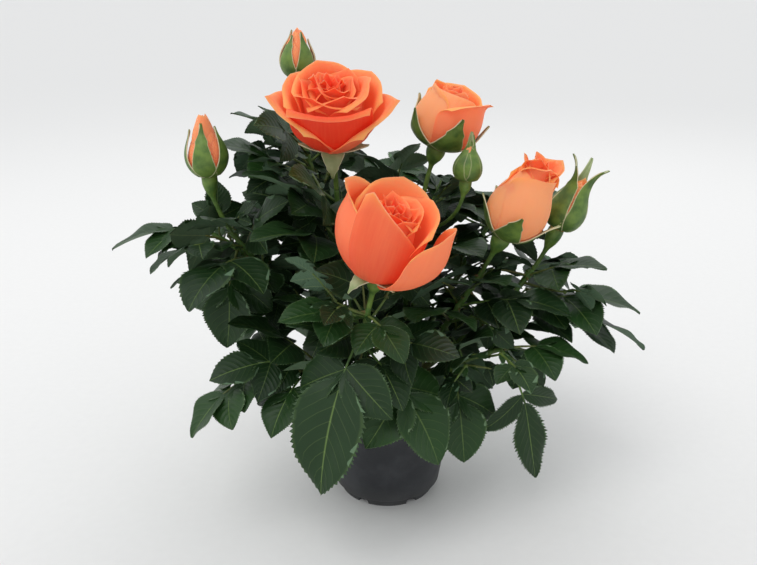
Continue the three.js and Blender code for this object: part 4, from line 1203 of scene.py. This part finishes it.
def trySpray(place, seed, tries, taken):
    # one twig with up to three leaves, as (leaf, shell), where nothing is in the way
    bearing, rise = 360 * chance(seed), deal(-25, 60, seed + 1)
    size = deal(*finerRule["twig"], seed + 2)
    turn = heading(bearing, rise)
    twig = Curve(place, place + turn * size * 0.5, place + turn * size + vec(0, 0, 0.12 * size))
    if all(Shell(*limbArrays(twig, start, 1, room["newTwig"])).meets(taken) for start in (0.25, 0.45)):
        return twig, []
    found = []
    for j, (share, aside) in enumerate(leafTurns):
        leaf = finerLeaf(twig, bearing, rise, seed + 4 + j * 8, tries, share, aside)
        points, faces = leafArrays(leaf, room["newLeaf"])
        if inCrown(points):
            shell = Shell(points, faces)
            if not shell.meets(taken) and not shell.meets([other for _, other in found]):
                found.append((leaf, shell))
    return twig, found


def growSprays():
    taken = [surfaceShell(nodes["pot"])]
    for name in blooms:
        taken += [surfaceShell(bpy.data.objects[f"{name}-{part}"]) for part in ("petals", "calyx")]
    for name, curve in curves.items():
        taken.append(Shell(*limbArrays(curve, 0, 1, room["cane"], 24)))
        taken += [Shell(*leafArrays(leaf, room["leaf"])) for leaf in leaves[name]]
    finer, twigs = {name: [] for name in shoots}, []
    seed = 5000
    for name, curve in curves.items():
        end = leafEnds[name] - 0.03
        count = round(curve.length() * (end - finerRule["start"]) / finerRule["spacing"])
        for i in range(count):
            seed += 1
            place = curve.at(mix(finerRule["start"], end, (i + chance(seed)) / count))
            best, bestTwig = [], None
            for k in range(finerRule["tries"]):
                twig, found = trySpray(place, seed * 512 + k * 48, k, taken)
                if len(found) > len(best):
                    best, bestTwig = found, twig
                if len(best) == len(leafTurns):
                    break
            if best:
                taken += [shell for _, shell in best] + [Shell(*limbArrays(bestTwig, 0.2, 1, room["twig"]))]
                finer[name] += [leaf for leaf, _ in best]
                twigs.append(bestTwig)
    return finer, twigs


finer, twigs = growSprays()
print("finer sprays", len(twigs), sum(map(len, finer.values())))
makeFoliage()
print("foliage made")


# pot and potting mix

pot = {"height": 66, "rim": 45, "shoulder": (42.4, 57), "heel": (34.3, 5.6), "foot": 30.5}
pot |= {"footWidth": 2.3, "pad": 9, "wall": 1.3, "floor": (3.2, 4.8)}
pot |= {"notches": 6, "notch": (6.3, 7, 5), "notchRound": 1.6, "hole": 2.6, "holeDepth": 8, "holesAt": 20}


def plasticMaterial():
    made = Finish("potPlastic", Specular_IOR_Level=0.4)
    where = made.place()
    dust = made.noise(where, 55, 5, 0.6)
    grain = made.noise(where, 1500, 3)
    colour = made.blend(made.ramp(dust, 0.35, 0.8) * 0.5, hexColour("25272b"), hexColour("4a4c4f"))
    colour = made.blend(made.ramp(made.part(where, 2), 0.02, 0.0) * 0.4, colour, hexColour("5a5a58"))
    scratch = made.noise(made.wire(made.node("ShaderNodeMapping", {}, {0: where, 3: (90, 90, 900)})), 1, 2)
    bump = made.relief(grain * 0.6 + scratch * 0.4, 0.0002, 0.5)
    return made.finish(Base_Color=colour, Roughness=0.48 + dust * 0.2, Normal=bump)


def mixMaterial():
    made = Finish("pottingMix", Specular_IOR_Level=0.15)
    where = made.place()
    bits = made.noise(where, 420, 4, 0.7)
    patches = made.noise(where, 130, 3)
    colour = made.blend(made.ramp(bits, 0.35, 0.75), hexColour("0b0b09"), hexColour("2b2018"))
    colour = made.blend(made.ramp(patches, 0.6, 0.78) * 0.6, colour, hexColour("5b3a24"))
    return made.finish(Base_Color=colour, Roughness=0.85 + bits * 0.1, Normal=made.relief(bits, 0.0012, 0.9))


finishes["plastic"] = plasticMaterial()
finishes["mix"] = mixMaterial()


def spun(profile, steps):
    bm = bmesh.new()
    corners = [bm.verts.new((r * mm, 0, z * mm)) for r, z in profile]
    line = corners + [bm.edges.new(pair) for pair in zip(corners, corners[1:])]
    turn = {"cent": (0, 0, 0), "axis": (0, 0, 1), "angle": math.tau, "steps": steps, "use_merge": True}
    bmesh.ops.spin(bm, geom=line, **turn)
    bmesh.ops.remove_doubles(bm, verts=bm.verts, dist=1e-6)
    bmesh.ops.recalc_face_normals(bm, faces=bm.faces)
    return bm


def meshObject(bm, name, materials, smoothAngle=35):
    mesh = bpy.data.meshes.new(name)
    for edge in bm.edges:
        edge.smooth = len(edge.link_faces) == 2 and edge.calc_face_angle(0) < math.radians(smoothAngle)
    for face in bm.faces:
        face.smooth = True
    bm.to_mesh(mesh)
    bm.free()
    dress(mesh, materials)
    return linked(name, mesh)


def potProfile():  # radius and height, from the middle of the underside round to the floor inside
    h, rim, foot = pot["height"], pot["rim"], pot["foot"]
    (sr, sz), (hr, hz) = pot["shoulder"], pot["heel"]
    under, floor = pot["floor"]
    ring = foot - pot["footWidth"]
    inner = lambda z: mix(hr, sr, (z - hz) / (sz - hz)) - pot["wall"]
    return [
        (0, 0), (pot["pad"], 0), (pot["pad"], under), (ring, under), (ring, 0), (foot, 0), (foot + 0.2, 2.2),
        (foot + 0.5, hz - 1.2), (foot + 2.2, hz - 0.5), (hr - 0.5, hz), (hr + 0.1, hz + 0.8),
        (mix(hr, sr, 0.5), mix(hz, sz, 0.5)), (sr - 0.1, sz - 0.6), (sr + 0.3, sz), (rim - 1.1, sz + 0.6),
        (rim - 0.7, sz + 1.4), (rim - 0.1, h - 1.6), (rim, h - 0.9), (rim - 0.3, h - 0.25), (rim - 1, h),
        (rim - 1.8, h - 0.05), (rim - 2.2, h - 0.5), (inner(sz) + 0.3, sz + 2.2), (inner(sz), sz + 1),
        (inner(hz + 1), hz + 1), (0, floor),
    ]  # fmt: skip


def addNotch(bm, bearing):
    made = bmesh.ops.create_cube(bm, size=1)["verts"]
    bmesh.ops.scale(bm, vec=[side * mm for side in pot["notch"]], verts=made)
    bmesh.ops.translate(bm, vec=((pot["foot"] - pot["footWidth"] / 2) * mm, 0, 0), verts=made)
    edges = []
    for edge in {e for v in made for e in v.link_edges}:  # the two long edges on top
        a, b = (v.co for v in edge.verts)
        if abs(a.y - b.y) < 1e-6 and min(a.z, b.z) > 0 and abs(a.x - b.x) > 1e-4:
            edges.append(edge)
    soft = {"affect": "EDGES", "segments": 4, "profile": 0.5, "material": -1}
    rounded = bmesh.ops.bevel(bm, geom=edges, offset=pot["notchRound"] * mm, **soft)
    corners = {v for f in rounded["faces"] for v in f.verts} | {v for v in made if v.is_valid}
    bmesh.ops.rotate(bm, cent=(0, 0, 0), matrix=Matrix.Rotation(bearing, 3, "Z"), verts=list(corners))


def addHole(bm, bearing):
    hole, away, depth = (pot[key] * mm for key in ("hole", "holesAt", "holeDepth"))
    made = bmesh.ops.create_cone(bm, cap_ends=True, segments=20, radius1=hole, radius2=hole, depth=depth)
    place = (away * math.cos(bearing), away * math.sin(bearing), pot["floor"][1] * mm)
    bmesh.ops.translate(bm, vec=place, verts=made["verts"])


def makePot():
    body = meshObject(spun(potProfile(), 120), "potShell", ["plastic"])
    bm = bmesh.new()
    step = math.tau / pot["notches"]
    for i in range(pot["notches"]):
        addNotch(bm, step * i)
        addHole(bm, step * (i + 0.5))
    cutter = meshObject(bm, "potCutter", ["plastic"])
    cut = body.modifiers.new("cut", "BOOLEAN")
    cut.operation, cut.solver, cut.object = "DIFFERENCE", "EXACT", cutter
    graph = bpy.context.evaluated_depsgraph_get()
    mesh = bpy.data.meshes.new_from_object(body.evaluated_get(graph))
    body.modifiers.clear()
    body.data = mesh
    bpy.data.objects.remove(cutter)
    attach(body, "root")
    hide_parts("pot")


bed = {"top": 55, "loose": 40, "reach": 38.5, "grains": 900, "grainSize": (0.5, 1.5), "grainHeight": 56.2}
bedProfile = [(0, 48), (30, 48), (40.2, 50), (41.1, 55.5), (40.4, 56.6), (38.5, 56.9), (31, 55.8)]
bedProfile += [(15, 56.1), (0, 56.1)]


def makeBed():
    bm = spun(bedProfile, 90)
    top = [f for f in bm.faces if f.calc_center_median().z > bed["top"] * mm]
    bmesh.ops.subdivide_edges(bm, edges=list({e for f in top for e in f.edges}), cuts=3, use_grid_fill=True)
    high = [v for v in bm.verts if v.co.z > bed["top"] * mm]
    bmesh.ops.smooth_vert(bm, verts=high, factor=0.5, use_axis_x=True, use_axis_y=True, use_axis_z=True)
    for v in bm.verts:
        x, y = v.co.x / mm, v.co.y / mm
        if v.co.z > bed["top"] * mm and math.hypot(x, y) < bed["loose"]:
            waves = 0.5 * math.sin(x * 0.9 + 2 * math.sin(y * 0.7)) + 0.35 * math.sin(y * 1.7 + x * 0.6)
            v.co.z += waves * mm
    body = meshObject(bm, "mixBed", ["mix"], 180)
    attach(body, "root")
    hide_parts("potting-mix")


def makeGrains():
    bm = bmesh.new()
    bmesh.ops.create_icosphere(bm, subdivisions=1, radius=1)
    points, faces = arraysOf(bm)
    heap = Heap()
    for _ in range(bed["grains"]):
        r, a = bed["reach"] * math.sqrt(rng.uniform()), rng.uniform(0, math.tau)
        size = rng.uniform(*bed["grainSize"]) * rng.uniform(0.6, 1.3, 3)
        rough = points * size * rng.uniform(0.75, 1.25, (len(points), 1))
        turn, _ = np.linalg.qr(rng.normal(0, 1, (3, 3)))
        place = vec(r * math.cos(a), r * math.sin(a), bed["grainHeight"])
        heap.add(rough @ turn + place, faces, 0, np.zeros((len(points), 2)), (0, 0, 0))
    made = heap.object("mixGrains", ["mix"])


makePot()
makeBed()
makeGrains()
print("pot made")


# floor and light

stage = {
    "reach": 30,
    "paper": ((0.79, 0.785, 0.77), (0.82, 0.815, 0.8)),
    "room": ((0.95, 0.97, 1, 1), 0.76),
    "sun": {"place": (-0.5, -0.7, 1.4), "spread": 40, "power": 1.0},
    "softboxes": {"back": ((0.3, 0.9, 1.1), 0.9, 2.5), "side": ((-1.0, 0.2, 0.9), 0.8, 1.5)},
    "aim": (0, 0, 0.15),
}


def aimed(name, kind, place, power):
    data = bpy.data.lights.new(name, kind)
    data.energy = power
    lamp = linked(name, data)
    lamp.location = place
    lamp.rotation_euler = (Vector(stage["aim"]) - Vector(place)).to_track_quat("-Z", "Y").to_euler()
    return data


def makeStage():
    made = Finish("floorPaper", Specular_IOR_Level=0.1, Roughness=0.9)
    made.finish(Base_Color=made.blend(made.noise(made.place(), 160, 3), *stage["paper"]))
    finishes["floor"] = made.material
    bm = bmesh.new()
    bmesh.ops.create_circle(bm, cap_ends=True, segments=64, radius=stage["reach"])
    meshObject(bm, "floor", ["floor"])
    world = bpy.data.worlds.new("room")
    world.use_nodes = True
    shade = world.node_tree.nodes["Background"].inputs
    shade["Color"].default_value, shade["Strength"].default_value = stage["room"]
    bpy.context.scene.world = world
    bpy.context.scene.view_settings.view_transform = "Standard"
    sun = stage["sun"]
    aimed("sun", "SUN", sun["place"], sun["power"]).angle = math.radians(sun["spread"])
    for name, (place, size, power) in stage["softboxes"].items():
        data = aimed(name, "AREA", place, power)
        data.shape, data.size = "SQUARE", size


makeStage()
print("stage made")
